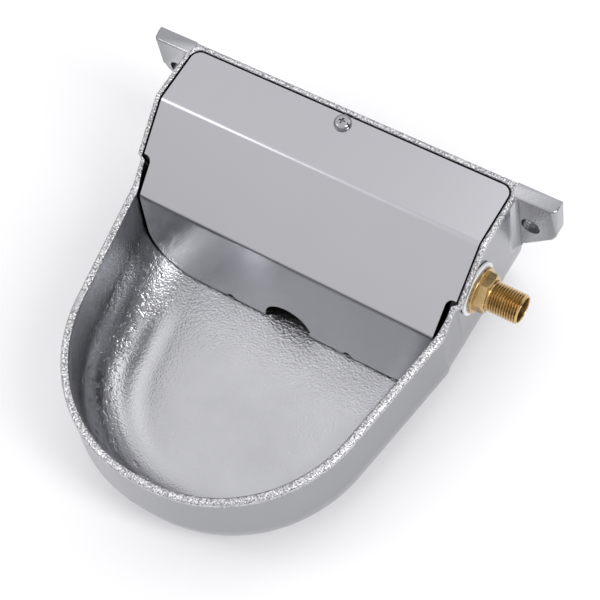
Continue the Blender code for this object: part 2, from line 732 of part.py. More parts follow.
def make_back_nut(brass, start, bore):
    """Flanged hexagon nut; its hexagon is cut back to a cone at the outer end."""
    corner = NUT_HEX / math.sqrt(3.0)
    end = start + NUT_LENGTH
    flat_end = start + NUT_FLANGE
    envelope = [
        (start, bore),
        (start, NUT_FLANGE_RADIUS - NUT_FLANGE / 3),
        (start + NUT_FLANGE / 3, NUT_FLANGE_RADIUS),
        (flat_end - NUT_FLANGE / 4, NUT_FLANGE_RADIUS),
        (flat_end, NUT_FLANGE_RADIUS - NUT_FLANGE / 4),
        (flat_end, corner + GAP),
        (end - NUT_CROWN, corner + GAP),
        (end, NUT_HEX / 2 - NUT_CROWN_INSET),
        (end, bore),
    ]
    nut = add_object("back_nut", turned(envelope, place=VALVE_AXIS), brass)
    shape = [(VALVE_AXIS.y + y, VALVE_AXIS.z + z) for y, z in hexagon(NUT_HEX, NUT_TURN)]
    far = 2 * NUT_FLANGE_RADIUS
    frame = arc((VALVE_AXIS.y, VALVE_AXIS.z), far, 0.0, 360.0, 12)[:-1]
    block = add_object("nut_frame", prism(frame, "X", flat_end, end + NUT_LENGTH), None)
    block.hide_render = True
    block.display_type = "WIRE"
    boolean(block, "DIFFERENCE", prism(shape, "X", start - NUT_LENGTH, end + 2 * NUT_LENGTH), "nut_hexagon")
    shear = nut.modifiers.new("nut_frame", "BOOLEAN")
    shear.operation = "DIFFERENCE"
    shear.object = block


def make_valve_body(brass):
    """Threaded tail, flange and barrel in one piece, with the lever's two lugs below."""
    flange_end = WALL_INSIDE - 2 * GAP - GASKET
    profile = [
        (TAIL_END, TAIL_BORE),
        (TAIL_END, TAIL_RADIUS - TAIL_CHAMFER),
        (TAIL_END - TAIL_CHAMFER, TAIL_RADIUS),
        (flange_end, TAIL_RADIUS),
        (flange_end, BODY_FLANGE_RADIUS),
        (flange_end - BODY_FLANGE, BODY_FLANGE_RADIUS),
        (flange_end - BODY_FLANGE, BARREL_RADIUS),
        (BARREL_END, BARREL_RADIUS),
        (BARREL_END, BARREL_BORE),
        (SEAT_SHOULDER, BARREL_BORE),
        (SEAT_SHOULDER, SEAT_PASSAGE),
        (SEAT_SHOULDER + THROAT_LENGTH, SEAT_PASSAGE),
        (SEAT_SHOULDER + THROAT_LENGTH + THROAT_TAPER, TAIL_BORE),
    ]
    body = add_object("valve_body", turned(profile, place=VALVE_AXIS), brass)
    # Each lug starts in the barrel's wall, clear of its bore.
    root = -(BARREL_BORE + BARREL_RADIUS) / 2
    tip = arc((PIN.x, PIN.z), LUG_RADIUS, 180.0, 360.0, 10)
    outline = [(PIN.x + LUG_RADIUS, VALVE_AXIS.z + root), (PIN.x - LUG_RADIUS, VALVE_AXIS.z + root), *tip]
    lugs = [
        prism(outline, "Y", VALVE_Y + low, VALVE_Y + low + LUG)
        for low in (LUG_INNER, -LUG_INNER - LUG)
    ]
    boolean(body, "UNION", merge(*lugs), "lugs")
    pin_bore = arc((PIN.x, PIN.z), PIN_RADIUS + GAP, 0.0, 360.0, SMALL_STEPS)[:-1]
    across = LUG_INNER + 2 * LUG
    bore = prism(pin_bore, "Y", VALVE_Y - across, VALVE_Y + across)
    clear_eye = EYE_RADIUS + RUNNING_GAP
    window = [(PIN.x - clear_eye, PIN.z), (PIN.x + clear_eye, PIN.z)]
    window += [(x, VALVE_AXIS.z) for x, _ in window[::-1]]
    slot = prism(window, "Y", VALVE_Y - LUG_INNER, VALVE_Y + LUG_INNER)
    boolean(body, "DIFFERENCE", bore, "pin_bore")
    boolean(body, "DIFFERENCE", slot, "lever_window")


def make_seat(nylon, rubber):
    """Screwed-in nozzle with a raised lip, sealed in the barrel by a ring in its groove."""
    outer = BARREL_BORE - GAP
    end = SEAT_SHOULDER - GAP
    groove = (SEAT_FACE + end) / 2
    half = SEAL_WIDTH / 2 + GAP
    inner = outer - SEAL_GROOVE
    profile = [
        (SEAT_FACE - SEAT_LIP, SEAT_ORIFICE),
        (SEAT_FACE - SEAT_LIP, SEAT_LIP_RADIUS - SEAT_LIP / 2),
        (SEAT_FACE, SEAT_LIP_RADIUS),
        (SEAT_FACE, outer),
        (groove - half, outer),
        (groove - half, inner),
        (groove + half, inner),
        (groove + half, outer),
        (end, outer),
        (end, SEAT_ORIFICE),
    ]
    add_object("valve_seat", turned(profile, SMALL_STEPS, VALVE_AXIS), nylon)
    radius = SEAL_WIDTH / 2
    ring = arc((groove, inner + GAP + radius), radius, 0.0, 360.0, 8)[:-1]
    add_object("seat_seal", turned(ring, SMALL_STEPS, VALVE_AXIS), rubber)


def make_end_cap(brass):
    """Cap that closes the barrel behind the piston."""
    outer_face = BARREL_END - GAP - END_CAP
    profile = [
        (outer_face, 0.0),
        (outer_face, END_CAP_RADIUS - TURNED_EDGE),
        (outer_face + TURNED_EDGE, END_CAP_RADIUS),
        (BARREL_END - GAP, END_CAP_RADIUS),
        (BARREL_END - GAP, BARREL_BORE - GAP),
        (BARREL_END + END_CAP_SPIGOT, BARREL_BORE - GAP),
        (BARREL_END + END_CAP_SPIGOT, 0.0),
    ]
    add_object("end_cap", turned(profile, place=VALVE_AXIS), brass)


def nose_tip(swing):
    """Centre of the lever's round nose, with the lever turned by an angle from upright."""
    return PIN + NOSE_LENGTH * Vector((math.sin(swing), 0.0, math.cos(swing)))


def make_piston(brass, rubber):
    """Slotted piston, its rubber washer and the cap that holds the washer."""
    axis = add_empty("piston_axis", VALVE_AXIS)
    outer = BARREL_BORE - RUNNING_GAP
    body_end = PISTON_START + PISTON_BODY
    cap_start = body_end + GAP
    cap_end = cap_start + PISTON_CAP
    back = cap_end - PISTON_CAP_LIP - GAP - PISTON_WASHER
    spigot_end = back - GAP
    profile = [
        (PISTON_START, 0.0),
        (PISTON_START, outer - TURNED_EDGE),
        (PISTON_START + TURNED_EDGE, outer),
        (body_end, outer),
        (body_end, PISTON_SPIGOT_RADIUS),
        (spigot_end, PISTON_SPIGOT_RADIUS),
        (spigot_end, 0.0),
    ]
    piston = add_object("piston", turned(profile, SMALL_STEPS), brass, axis)
    tip = nose_tip(-FLOAT_TRAVEL / 2) - VALVE_AXIS
    half = NOSE_RADIUS + RUNNING_GAP
    top = tip.z + NOSE_RADIUS + 2 * RUNNING_GAP
    window = [(tip.x - half, -2 * outer), (tip.x + half, -2 * outer)]
    window += [(tip.x + half, top), (tip.x - half, top)]
    width = NOSE_HALF + RUNNING_GAP
    boolean(piston, "DIFFERENCE", prism(window, "Y", -width, width), "nose_slot")
    inner = PISTON_SPIGOT_RADIUS + GAP
    cup = [
        (cap_start, inner),
        (cap_start, outer),
        (cap_end, outer),
        (cap_end, PISTON_CAP_MOUTH),
        (cap_end - PISTON_CAP_LIP, PISTON_CAP_MOUTH),
        (cap_end - PISTON_CAP_LIP, inner),
    ]
    add_object("piston_cap", turned(cup, SMALL_STEPS), brass, axis)
    disc = [
        (back, 0.0),
        (back, PISTON_SPIGOT_RADIUS),
        (back + PISTON_WASHER, PISTON_SPIGOT_RADIUS),
        (back + PISTON_WASHER, PISTON_CAP_MOUTH - GAP),
        (cap_end + GAP, PISTON_CAP_MOUTH - GAP),
        (cap_end + GAP, 0.0),
    ]
    add_object("piston_washer", turned(disc, SMALL_STEPS), rubber, axis)


def make_pin(steel):
    """Pin through both lugs, headed at the front and held by a spring clip at the back."""
    shift = Matrix.Translation(PIN)
    quarter = Matrix.Rotation(math.pi / 2, 4, "Z")
    reach = LUG_INNER + LUG + GAP
    clip_end = reach + CLIP_THICKNESS
    tail = clip_end + PIN_TAIL
    profile = [
        (-reach - PIN_HEAD, 0.0),
        (-reach - PIN_HEAD, PIN_HEAD_RADIUS),
        (-reach, PIN_HEAD_RADIUS),
        (-reach, PIN_RADIUS),
        (tail, PIN_RADIUS),
        (tail, 0.0),
    ]
    clip = ring_profile(reach, clip_end, PIN_RADIUS + GAP, CLIP_RADIUS)
    for name, shape in (("pivot_pin", profile), ("pin_clip", clip)):
        bm = turned(shape, SMALL_STEPS)
        bmesh.ops.transform(bm, matrix=shift @ quarter, verts=bm.verts)
        add_object(name, bm, steel)


# Lever and float, modelled level about the pin and then lowered to the rest stop


def make_lever(brass, axis):
    """Pivot eye with its nose above and its arm to the rod's socket."""
    eye_half = LUG_INNER - RUNNING_GAP
    outline = arc((0.0, 0.0), EYE_RADIUS, -90.0, 90.0, 10)
    inside_socket = SOCKET_LENGTH - SOCKET_TAPER - ARM_REACH
    outline += [(-EYE_RADIUS, ARM_HALF_HEIGHT), (inside_socket, ARM_HALF_HEIGHT)]
    outline += [(inside_socket, -ARM_HALF_HEIGHT), (-EYE_RADIUS, -ARM_HALF_HEIGHT)]
    lever = add_object("lever_arm", prism(outline, "Y", -eye_half, eye_half), brass, axis)
    lean = FLOAT_TRAVEL / 2
    tip = (NOSE_LENGTH * math.sin(lean), NOSE_LENGTH * math.cos(lean))
    degrees = math.degrees(lean)
    nose = arc(tip, NOSE_RADIUS, -degrees, 180.0 - degrees, 8)
    nose += [(-NOSE_RADIUS, 0.0), (NOSE_RADIUS, 0.0)]
    boolean(lever, "UNION", prism(nose, "Y", -NOSE_HALF, NOSE_HALF), "nose")
    start = -ARM_REACH
    end = start + SOCKET_LENGTH
    neck = end - SOCKET_TAPER
    socket = [(start, 0.0), (start, SOCKET_RADIUS), (neck, SOCKET_RADIUS)]
    socket += [(end, ARM_HALF_HEIGHT), (end, 0.0)]
    boolean(lever, "UNION", turned(socket, SMALL_STEPS), "rod_socket")
    hole = ring_profile(start - SOCKET_DEPTH, start + SOCKET_DEPTH, 0.0, ROD_RADIUS + GAP)
    boolean(lever, "DIFFERENCE", turned(hole, SMALL_STEPS), "rod_hole")
    pin_hole = arc((0.0, 0.0), PIN_RADIUS + GAP, 0.0, 360.0, SMALL_STEPS)[:-1]
    boolean(lever, "DIFFERENCE", prism(pin_hole, "Y", -2 * eye_half, 2 * eye_half), "pin_hole")


def make_rod(brass, axis):
    """Threaded rod between the lever's socket and the float's insert, with its two lock nuts."""
    start = INSERT_FLANGE - INSERT_LENGTH - FLOAT_REACH
    end = SOCKET_DEPTH - GAP - ARM_REACH
    rod = [(start, 0.0), (start, ROD_RADIUS), (end, ROD_RADIUS), (end, 0.0)]
    add_object("float_rod", turned(rod, SMALL_STEPS), brass, axis)
    at_lever = -ARM_REACH - GAP - LOCK_NUT
    at_float = 2 * GAP + INSERT_FLANGE - FLOAT_REACH
    bore = arc((0.0, 0.0), ROD_RADIUS + GAP, 0.0, 360.0, SMALL_STEPS)[:-1]
    for name, place in (("lever_lock_nut", at_lever), ("float_lock_nut", at_float)):
        nut = add_object(name, prism(hexagon(LOCK_NUT_HEX, 90.0), "X", place, place + LOCK_NUT), brass, axis)
        boolean(nut, "DIFFERENCE", prism(bore, "X", place - LOCK_NUT, place + 2 * LOCK_NUT), name + "_bore")


def make_insert(brass, axis):
    """Brass bush in the float's end wall that the rod is screwed into."""
    wall = -FLOAT_REACH
    end = wall + GAP + INSERT_FLANGE
    bore = ROD_RADIUS + GAP
    inner_end = end - INSERT_LENGTH
    profile = [
        (end, bore),
        (end, INSERT_FLANGE_RADIUS),
        (wall + GAP, INSERT_FLANGE_RADIUS),
        (wall + GAP, INSERT_RADIUS),
        (inner_end - INSERT_END, INSERT_RADIUS),
        (inner_end - INSERT_END, 0.0),
        (inner_end - GAP, 0.0),
        (inner_end - GAP, bore),
    ]
    add_object("float_insert", turned(profile, SMALL_STEPS), brass, axis)


def float_box(level, keep_upper):
    """Open half of the float's rounded box, with its weld rim turned outward."""
    centre = Vector((-FLOAT_REACH - FLOAT_LENGTH / 2, 0.0, (FLOAT_ABOVE - FLOAT_BELOW) / 2))
    size = Vector((FLOAT_LENGTH, FLOAT_WIDTH, FLOAT_ABOVE + FLOAT_BELOW))
    bm = bmesh.new()
    bmesh.ops.create_cube(bm, size=1.0, matrix=Matrix.Translation(centre) @ Matrix.Diagonal((*size, 1.0)))
    bmesh.ops.bevel(bm, geom=bm.edges[:], offset=FLOAT_ROUND, segments=4, profile=0.5, affect="EDGES")
    everything = bm.verts[:] + bm.edges[:] + bm.faces[:]
    drop = {"clear_inner": keep_upper, "clear_outer": not keep_upper}
    bmesh.ops.bisect_plane(bm, geom=everything, plane_co=(0, 0, level), plane_no=(0, 0, 1), **drop)
    edge = [e for e in bm.edges if e.is_boundary]
    grown = bmesh.ops.extrude_edge_only(bm, edges=edge)
    core = (size.x / 2 - FLOAT_ROUND, size.y / 2 - FLOAT_ROUND)
    for vert in [item for item in grown["geom"] if isinstance(item, bmesh.types.BMVert)]:
        offset = (vert.co - centre).xy
        nearest = Vector([max(-half, min(half, value)) for half, value in zip(core, offset)])
        out = (offset - nearest).normalized() * FLOAT_RIM
        vert.co += Vector((out.x, out.y, 0.0))
    return bm


def make_float(plastic, axis):
    """Two thin shells that are welded at their rims."""
    for name, level, keep_upper in (
        ("float_upper_shell", FLOAT_WALL + GAP / 2 - SEAM_BELOW, True),
        ("float_lower_shell", -FLOAT_WALL - GAP / 2 - SEAM_BELOW, False),
    ):
        shell = add_object(name, float_box(level, keep_upper), plastic, axis)
        wall = shell.modifiers.new("wall", "SOLIDIFY")
        wall.thickness = FLOAT_WALL
        wall.offset = -1.0
        wall.use_even_offset = True
        if keep_upper:
            end = -FLOAT_REACH
            hole = ring_profile(end - 4 * FLOAT_WALL, end + 4 * FLOAT_WALL, 0.0, INSERT_RADIUS + GAP)
            boolean(shell, "DIFFERENCE", turned(hole, SMALL_STEPS), "insert_hole")


def main():
    clear_scene()
    aluminium = material("cast_aluminium", (0.40, 0.40, 0.42), 0.38, 1.0)
    stainless = material("satin_stainless", (0.46, 0.47, 0.48), 0.30, 1.0)
    bright = material("bright_stainless", (0.62, 0.62, 0.63), 0.16, 1.0)
    brass = material("turned_brass", (0.48, 0.29, 0.09), 0.30, 1.0)
    nylon = material("white_nylon", (0.66, 0.70, 0.74), 0.45, 0.0)
    rubber = material("black_rubber", (0.02, 0.02, 0.02), 0.70, 0.0)
    plastic = material("float_plastic", (0.03, 0.03, 0.03), 0.50, 0.0)
    make_casting(aluminium)
    make_cover(stainless)
    make_screw(bright)
    make_wall_seals(nylon, rubber, brass)
    make_valve_body(brass)
    make_seat(nylon, rubber)
    make_end_cap(brass)
    make_piston(brass, rubber)
    make_pin(bright)
    axis = add_empty("float_arm_axis", PIN, -FLOAT_TRAVEL)
    make_lever(brass, axis)
    make_rod(brass, axis)
    make_insert(brass, axis)
    make_float(plastic, axis)


main()
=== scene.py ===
"""Studio picture of a float drinking bowl: cast aluminium, satin stainless cover and brass float valve."""

import json
import math
from functools import partial

import bpy
import bmesh
from mathutils import Matrix, Vector


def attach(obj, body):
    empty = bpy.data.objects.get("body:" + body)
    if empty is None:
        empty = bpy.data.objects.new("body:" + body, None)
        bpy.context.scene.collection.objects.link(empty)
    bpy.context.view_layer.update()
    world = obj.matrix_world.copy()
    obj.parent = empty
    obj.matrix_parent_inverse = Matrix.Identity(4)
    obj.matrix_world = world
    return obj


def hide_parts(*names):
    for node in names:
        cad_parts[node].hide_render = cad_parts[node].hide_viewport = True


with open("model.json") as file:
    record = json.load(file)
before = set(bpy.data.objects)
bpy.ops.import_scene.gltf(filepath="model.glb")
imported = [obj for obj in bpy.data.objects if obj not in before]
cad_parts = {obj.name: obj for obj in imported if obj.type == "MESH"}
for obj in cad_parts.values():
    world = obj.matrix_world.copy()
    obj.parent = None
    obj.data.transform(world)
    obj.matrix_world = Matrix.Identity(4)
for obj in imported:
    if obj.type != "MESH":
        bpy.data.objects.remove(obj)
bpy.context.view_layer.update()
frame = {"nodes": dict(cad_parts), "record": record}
NODES = frame["nodes"]

# The camera of the photograph, fitted to the cover, the rim, the ears and the fitting
CAMERA_PLACE = (0.376878, -0.406691, 0.861317)
CAMERA_RIGHT = Vector((0.836904, 0.522009, -0.164617))
CAMERA_UP = Vector((-0.415641, 0.801784, 0.429401))
FOCAL_LENGTH = 90.0
SENSOR = 36.0
CLIP_START = 0.05

# The paper under the bowl: its width, and the gap between it and the base
PAPER_SIZE = 12.0
PAPER_GAP = 0.0002

# Sizes of the casting, with finer rounds than the part's source has. Heights are above the flat base.
BASE = -0.0950
CHAMBER_HALF = 0.1250
CHAMBER_INSIDE = 0.1195
BACK_WALL = 0.0060
BACK_LIP = 0.0038
BACK_CORNER = 0.0030
LIP_HALF = 0.1243
LIP_WIDTH = 0.0035
LIP_CORNER = 0.0080
JOG_START = -0.0820
JOG_END = -0.0850
JOG_STEP = 0.0036
PLATE_HALF = 0.1558
PLATE_THICKNESS = 0.0105
PLATE_TOP = 0.1254
EAR_ROOT = (LIP_HALF + CHAMBER_HALF) / 2
EAR_SIDE_FOOT = 0.0915
EAR_SLOPE = math.radians(48.0)
EAR_PLAN_ROUND = 0.0038
EAR_LOWER_ROUND = 0.0120
EAR_BREAK = 0.0018
EAR_FILLET = 0.0055
EAR_FILLET_DROP = 0.0012
RIGHT_SLOT = 0.1375
LEFT_SLOT = -0.1424
SLOT_RADIUS = 0.0065
SLOT_STRAIGHT = 0.0015
RIM_HEIGHT = 0.0856
RIM_HALF = 0.1185
RIM_TAPER = math.radians(9.3)
RIM_TAPER_FROM = -0.1040
RIM_CORNER = 0.1000
RIM_FRONT_RADIUS = 0.3000
RIM_FRONT = -0.2728
BEAD_WIDTH = 0.0055
BEAD_ROUND = 0.0016
BEAD_DEPTH = 0.0042
BEAD_RUNOUT = 0.0014
BEAD_OVERHANG = 0.0006
RIM_DEPTH = 0.0090
LEDGE_RUNOUT = 0.0020
BELLY = BEAD_WIDTH + 0.0018
FRONT_FLARE = 0.0040
WALL = 0.0058
FLOOR = 0.0060
BASE_ROUND = 0.0450
BACK_ROUND = 0.0120
FLOOR_ROUND = 0.0395
BACK_FLOOR_ROUND = 0.0200
BOSS_RADIUS = 0.0075
BOSS_HEIGHT = 0.0260

# The steps in each stretch of an outline and between the rows of points
BACK_STEPS = 60
CORNER_STEPS = 10
TAPER_STEPS = 20
NOSE_STEPS = 64
FRONT_STEPS = 26
FOOT_STEPS = 24
WALL_STEPS = 12
UNDER_STEPS = 5
BEAD_STEPS = 16

# The lowest rows of the inner foot are the floor's, and not the wall's
FLOOR_ROWS = 10

# Stretches of the casting's side: first place, step forward and number of places, closest at the jog
SIDE_STRETCHES = ((-0.0040, 0.0022, 36), (JOG_START, 0.0003, 11), (-0.0865, 0.0018, 10))
SIDE_PLACES = [start - step * k for start, step, count in SIDE_STRETCHES for k in range(count)]

# The cover's folds, its sheet, its cut-outs and its screw
SHEET = 0.0015
COVER_DROP = 0.0016
COVER_GAP = 0.0003
COVER_HALF = 0.1231
COVER_REAR = -0.0047
COVER_TOP = PLATE_TOP - COVER_DROP + BASE
BEND_Y = -0.0484
FOLD_Y = -0.1044
FOLD_HEIGHT = 0.0818
FOLD_Z = FOLD_HEIGHT + BASE
FOOT_Y = -0.1171
FOOT_Z = 0.0086 + BASE
FOOT_BAND = 0.0020
BEND_RADIUS = 0.0062
FOLD_RADIUS = 0.0050
COVER_CORNER = 0.0070
COVER_BREAK = 0.0003
NOTCH_Y = -0.0810
NOTCH_ROUND = 0.0042
BAFFLE_HALF = 0.1168
BAFFLE_CORNER = 0.0370
MOUSE_HOLE = 0.0195
NICK_PLACE = 0.0490
NICK_RADIUS = 0.0032
SLOPE = math.atan2(PLATE_TOP - COVER_DROP - FOLD_HEIGHT, BEND_Y - FOLD_Y)
SCREW_Y = -0.0110
SCREW_HOLE = 0.0033
SCREW_SEAT = COVER_TOP + 0.0003
SCREW_BREAK = 0.00015
HEAD_RADIUS = 0.0061
HEAD_HEIGHT = 0.0034
HEAD_ROUND = 0.0030
SHANK_RADIUS = 0.0030
SHANK_LENGTH = 0.0180
SHANK_OVERLAP = 0.0002
RECESS_REACH = 0.0030
RECESS_HALF = 0.00075
RECESS_FLOOR = 0.0016
RECESS_TOP = 0.0050
RECESS_TAPER = 0.55

# The valve's place in the right side wall, and its fittings outside it
VALVE = Vector((0.0, -0.0612, -0.0095))
TAIL_RADIUS = 0.01045
TAIL_HOLE = TAIL_RADIUS + 0.0003
TAIL_END = 0.1593
TAIL_BORE = 0.0083
TAIL_MOUTH = 0.0006
TAIL_STEPS = 240
TAIL_SIDES = 144
TAIL_TURNS = [math.tau * k / TAIL_SIDES for k in range(TAIL_SIDES)]
WASHER_START = 0.1253
WASHER_END = 0.1273
WASHER_RADIUS = 0.0189
WASHER_ROUND = 0.0005
NUT_START = 0.1276
NUT_FLANGE = 0.0022
NUT_FLANGE_RADIUS = 0.0163
NUT_FLANGE_ROUND = 0.0005
NUT_HEX = 0.0250
NUT_TURN = math.radians(-10.0)
NUT_END = 0.1368
TAIL_START = NUT_END - 0.0031
NUT_FACE_RADIUS = 0.0121
NUT_CHAMFER = math.radians(30.0)
NUT_BREAK = 0.00025
THREAD_PITCH = 0.001814
THREAD_DEPTH = 0.00115
THREAD_GAP = 0.0002
THREAD_FADE = 0.0012
THREAD_CHAMFER = 0.0013
THREAD_CHAMFER_SLOPE = 0.9

# Cutters start and end in the air: places on the valve's axis, and lengths
WALL_CUT = (0.114, 0.136)
WASHER_CUT = (0.12, 0.14)
NUT_CUT = (0.12, 0.15)
TAIL_CUT = (NUT_END - 0.0030, 0.17)
TAIL_CUT_RADIUS = 0.02
SLOT_CUT = (-0.03, 0.02)
EAR_CUT = 0.01
CUT = 0.02
CONE_SPREAD = 0.02
OUTSIDE = 0.2

# How near a point lies to what it is tested against: on it, or about there
NEAR = 1e-5
ABOUT = 1e-4

# Where a finish changes into another over a short way
EARS_START = (0.1275, 0.1290)
BACK_START = (-0.0006, -0.0002)
SLOT_EDGE = (0.0064, 0.0068)
SLOT_SQUASH = 0.81
BEFORE_BAFFLE = (-0.170, -0.140)
BEHIND_BAFFLE = (-0.115, -0.105)


# Modelling


def deselect_all():
    if bpy.context.object and bpy.context.object.mode != "OBJECT":
        bpy.ops.object.mode_set(mode="OBJECT")
    for obj in bpy.context.selected_objects:
        obj.select_set(False)


def take(obj):
    """Makes this the one selected, active object."""
    deselect_all()
    obj.select_set(True)
    bpy.context.view_layer.objects.active = obj


def added(name):
    """The primitive that was just added, named, with its place, turn and scale put in its mesh."""
    obj = bpy.context.active_object
    obj.name = obj.data.name = name
    bpy.ops.object.transform_apply(location=True, rotation=True, scale=True)
    return obj


def block(name, corner, opposite):
    """A cube stretched between two corners."""
    deselect_all()
    middle = [(a + b) / 2 for a, b in zip(corner, opposite)]
    bpy.ops.mesh.primitive_cube_add(size=1.0, location=middle)
    bpy.context.active_object.scale = [abs(b - a) for a, b in zip(corner, opposite)]
    return added(name)


def rod(name, start, end, radius, steps, turn=0.0):
    """A cylinder between two points on a line along one axis, turned about X if a turn is given."""
    deselect_all()
    span = Vector(end) - Vector(start)
    way = span.to_track_quat("Z", "Y").to_euler()
    middle = (Vector(start) + Vector(end)) / 2
    bpy.ops.mesh.primitive_cylinder_add(
        vertices=steps, radius=radius, depth=span.length, location=middle, rotation=way
    )
    made = added(name)
    if turn:
        pick(made, "polygons", lambda corners: True)
        bpy.ops.transform.rotate(value=turn, orient_axis="X", center_override=list(middle))
        done()
    return made


def pick(obj, kind, wanted):
    """Selects an object's vertices, edges or faces whose corners pass a test, in edit mode."""
    take(obj)
    bpy.ops.object.mode_set(mode="EDIT")
    bpy.ops.mesh.select_mode(type={"vertices": "VERT", "edges": "EDGE", "polygons": "FACE"}[kind])
    bpy.ops.mesh.select_all(action="DESELECT")
    done()
    mesh = obj.data
    for item in getattr(mesh, kind):
        corners = [item.co] if kind == "vertices" else [mesh.vertices[k].co for k in item.vertices]
        item.select = bool(wanted(corners))
    bpy.ops.object.mode_set(mode="EDIT")


def done():
    """Leaves edit mode."""
    bpy.ops.object.mode_set(mode="OBJECT")


def all_of(test):
    """A test that every corner has to pass."""
    return lambda corners: all(test(point) for point in corners)


def rounded(point):
    """A point to the nearest thousandth of a millimetre, to find it again."""
    return tuple(round(value, 6) for value in point)


def edge_key(corners):
    return tuple(sorted(rounded(point) for point in corners))


def sharp_edges(obj, limit):
    """Keys of the edges whose two faces meet at more than an angle."""
    worked = bmesh.new()
    worked.from_mesh(obj.data)
    found = {
        edge_key([corner.co for corner in edge.verts])
        for edge in worked.edges
        if edge.calc_face_angle(0.0) > math.radians(limit)
    }
    worked.free()
    return found


def round_edges(obj, wanted, width, segments):
    """Bevels the edges that pass a test."""
    pick(obj, "edges", wanted)
    bpy.ops.mesh.bevel(offset=width, segments=segments, affect="EDGES")
    done()


def combine(target, tool, operation):
    """Joins a tool to the target or cuts it away, and removes the tool."""
    take(target)
    step = target.modifiers.new("shape", "BOOLEAN")
    step.operation = operation
    step.solver = "EXACT"
    step.object = tool
    bpy.ops.object.modifier_apply(modifier=step.name)
    bpy.data.objects.remove(tool)


def drill(target, start, end, radius, steps):
    """Cuts a round hole between two points."""
    combine(target, rod("drill", start, end, radius, steps), "DIFFERENCE")


def on_axis(x):
    """A point on the valve's axis."""
    return VALVE + Vector((x, 0.0, 0.0))


def drill_for_tail(target, cut, steps):
    """Cuts the hole for the valve's tail, between two places on its axis."""
    drill(target, on_axis(cut[0]), on_axis(cut[1]), TAIL_HOLE, steps)


def soften(obj, width, segments, limit):
    """Breaks the edges that are sharper than an angle with a small round."""
    take(obj)
    step = obj.modifiers.new("edges", "BEVEL")
    step.width = width
    step.segments = segments
    step.limit_method = "ANGLE"
    step.angle_limit = math.radians(limit)
    bpy.ops.object.modifier_apply(modifier=step.name)


def shade(obj, limit):
    """Smooth shading up to an angle, with the large faces kept flat."""
    take(obj)
    bpy.ops.object.shade_smooth_by_angle(angle=math.radians(limit))
    step = obj.modifiers.new("normals", "WEIGHTED_NORMAL")
    step.keep_sharp = True
    step.weight = 60
    bpy.ops.object.modifier_apply(modifier=step.name)


def loft(name, rows):
    """A grid bent round, one row of its points for each row given, and its open ends closed."""
    deselect_all()
    bpy.ops.mesh.primitive_grid_add(x_subdivisions=len(rows[0]), y_subdivisions=len(rows) - 1, size=1.0)
    shell = added(name)
    points = [value for row in rows for point in [*row, row[0]] for value in point]
    shell.data.vertices.foreach_set("co", points)
    shell.data.update()
    bpy.ops.object.mode_set(mode="EDIT")
    bpy.ops.mesh.select_all(action="SELECT")
    bpy.ops.mesh.remove_doubles(threshold=1e-6)
    bpy.ops.mesh.select_all(action="SELECT")
    bpy.ops.mesh.fill_holes(sides=0)
    bpy.ops.mesh.select_all(action="SELECT")
    bpy.ops.mesh.normals_make_consistent(inside=False)
    done()
    return shell


def finish(piece, body, slot, *nodes):
    """Gives a piece the finish of its slot and puts it on its body, and hides the CAD nodes that it
    replaces.
    """
    piece.data.materials.clear()
    piece.data.materials.append(FINISHES[slot])
    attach(piece, body)
    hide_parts(*nodes)


# Casting


def arc(centre, radius, start, end, steps):
    """Points on a circle, from one angle to another in degrees, both ends included."""
    angles = [math.radians(start + (end - start) * k / steps) for k in range(steps + 1)]
    return [(centre[0] + radius * math.cos(a), centre[1] + radius * math.sin(a)) for a in angles]


def rim_level(y):
    """The rim's height: level beside the cover's top, down its front panel, level round the bowl."""
    return min(PLATE_TOP, max(RIM_HEIGHT, PLATE_TOP - math.tan(SLOPE) * (BEND_Y - y)))


def bowl_line(y, offset):
    """Half width of the bowl's straight taper."""
    return RIM_HALF + offset / math.cos(RIM_TAPER) + (y - RIM_TAPER_FROM) * math.tan(RIM_TAPER)


def eased(share):
    """A share from 0 to 1 that starts and ends slowly."""
    share = min(1.0, max(0.0, share))
    return share * share * (3 - 2 * share)


def side_half(y, rear_half, offset, step):
    """Half width beside the chamber, which the jog narrows on its way to the bowl."""
    ahead = min(rear_half - step, bowl_line(y, offset))
    return rear_half + (ahead - rear_half) * eased((JOG_START - y) / (JOG_START - JOG_END))


def nose(offset, front):
    """The bowl's front: a straight taper, a corner arc and a flatter arc at the middle."""
    across = Vector((math.cos(RIM_TAPER), -math.sin(RIM_TAPER)))
    along = Vector((-math.sin(RIM_TAPER), -math.cos(RIM_TAPER)))
    corner = RIM_CORNER + offset
    wide = RIM_FRONT_RADIUS + offset
    start = Vector((bowl_line(RIM_TAPER_FROM, offset), RIM_TAPER_FROM))
    hub = Vector((0.0, front + wide))
    # The taper runs on until an arc on its side touches the wide arc from within
    inset = start - corner * across
    ahead = (inset - hub).dot(along)
    reach = -ahead + math.sqrt(ahead**2 - (inset - hub).length_squared + (wide - corner) ** 2)
    centre = inset + reach * along
    meet = math.degrees(math.atan2(centre.y - hub.y, centre.x - hub.x))
    straight = [tuple(start + along * reach * k / TAPER_STEPS) for k in range(TAPER_STEPS)]
    turned = arc(centre, corner, -math.degrees(RIM_TAPER), meet, NOSE_STEPS)
    return straight + turned + arc(hub, wide, meet, -90.0, FRONT_STEPS)[1:]


def outline(rear_half, back, corner, offset, front_extra=0.0, step=0.0):
    """Right half of one outline of the casting, from the middle of the back to the front."""
    hub = (rear_half - corner, back - corner)
    points = [(hub[0] * k / BACK_STEPS, back) for k in range(BACK_STEPS)]
    points += arc(hub, corner, 90.0, 0.0, CORNER_STEPS)
    for place in SIDE_PLACES:
        y = min(place, hub[1])
        points.append((side_half(y, rear_half, offset, step), y))
    return points + nose(offset, RIM_FRONT - offset - front_extra)


def mirrored(row):
    """A right half with its left half."""
    return row + [(-x, y, z) for x, y, z in row[-2:0:-1]]


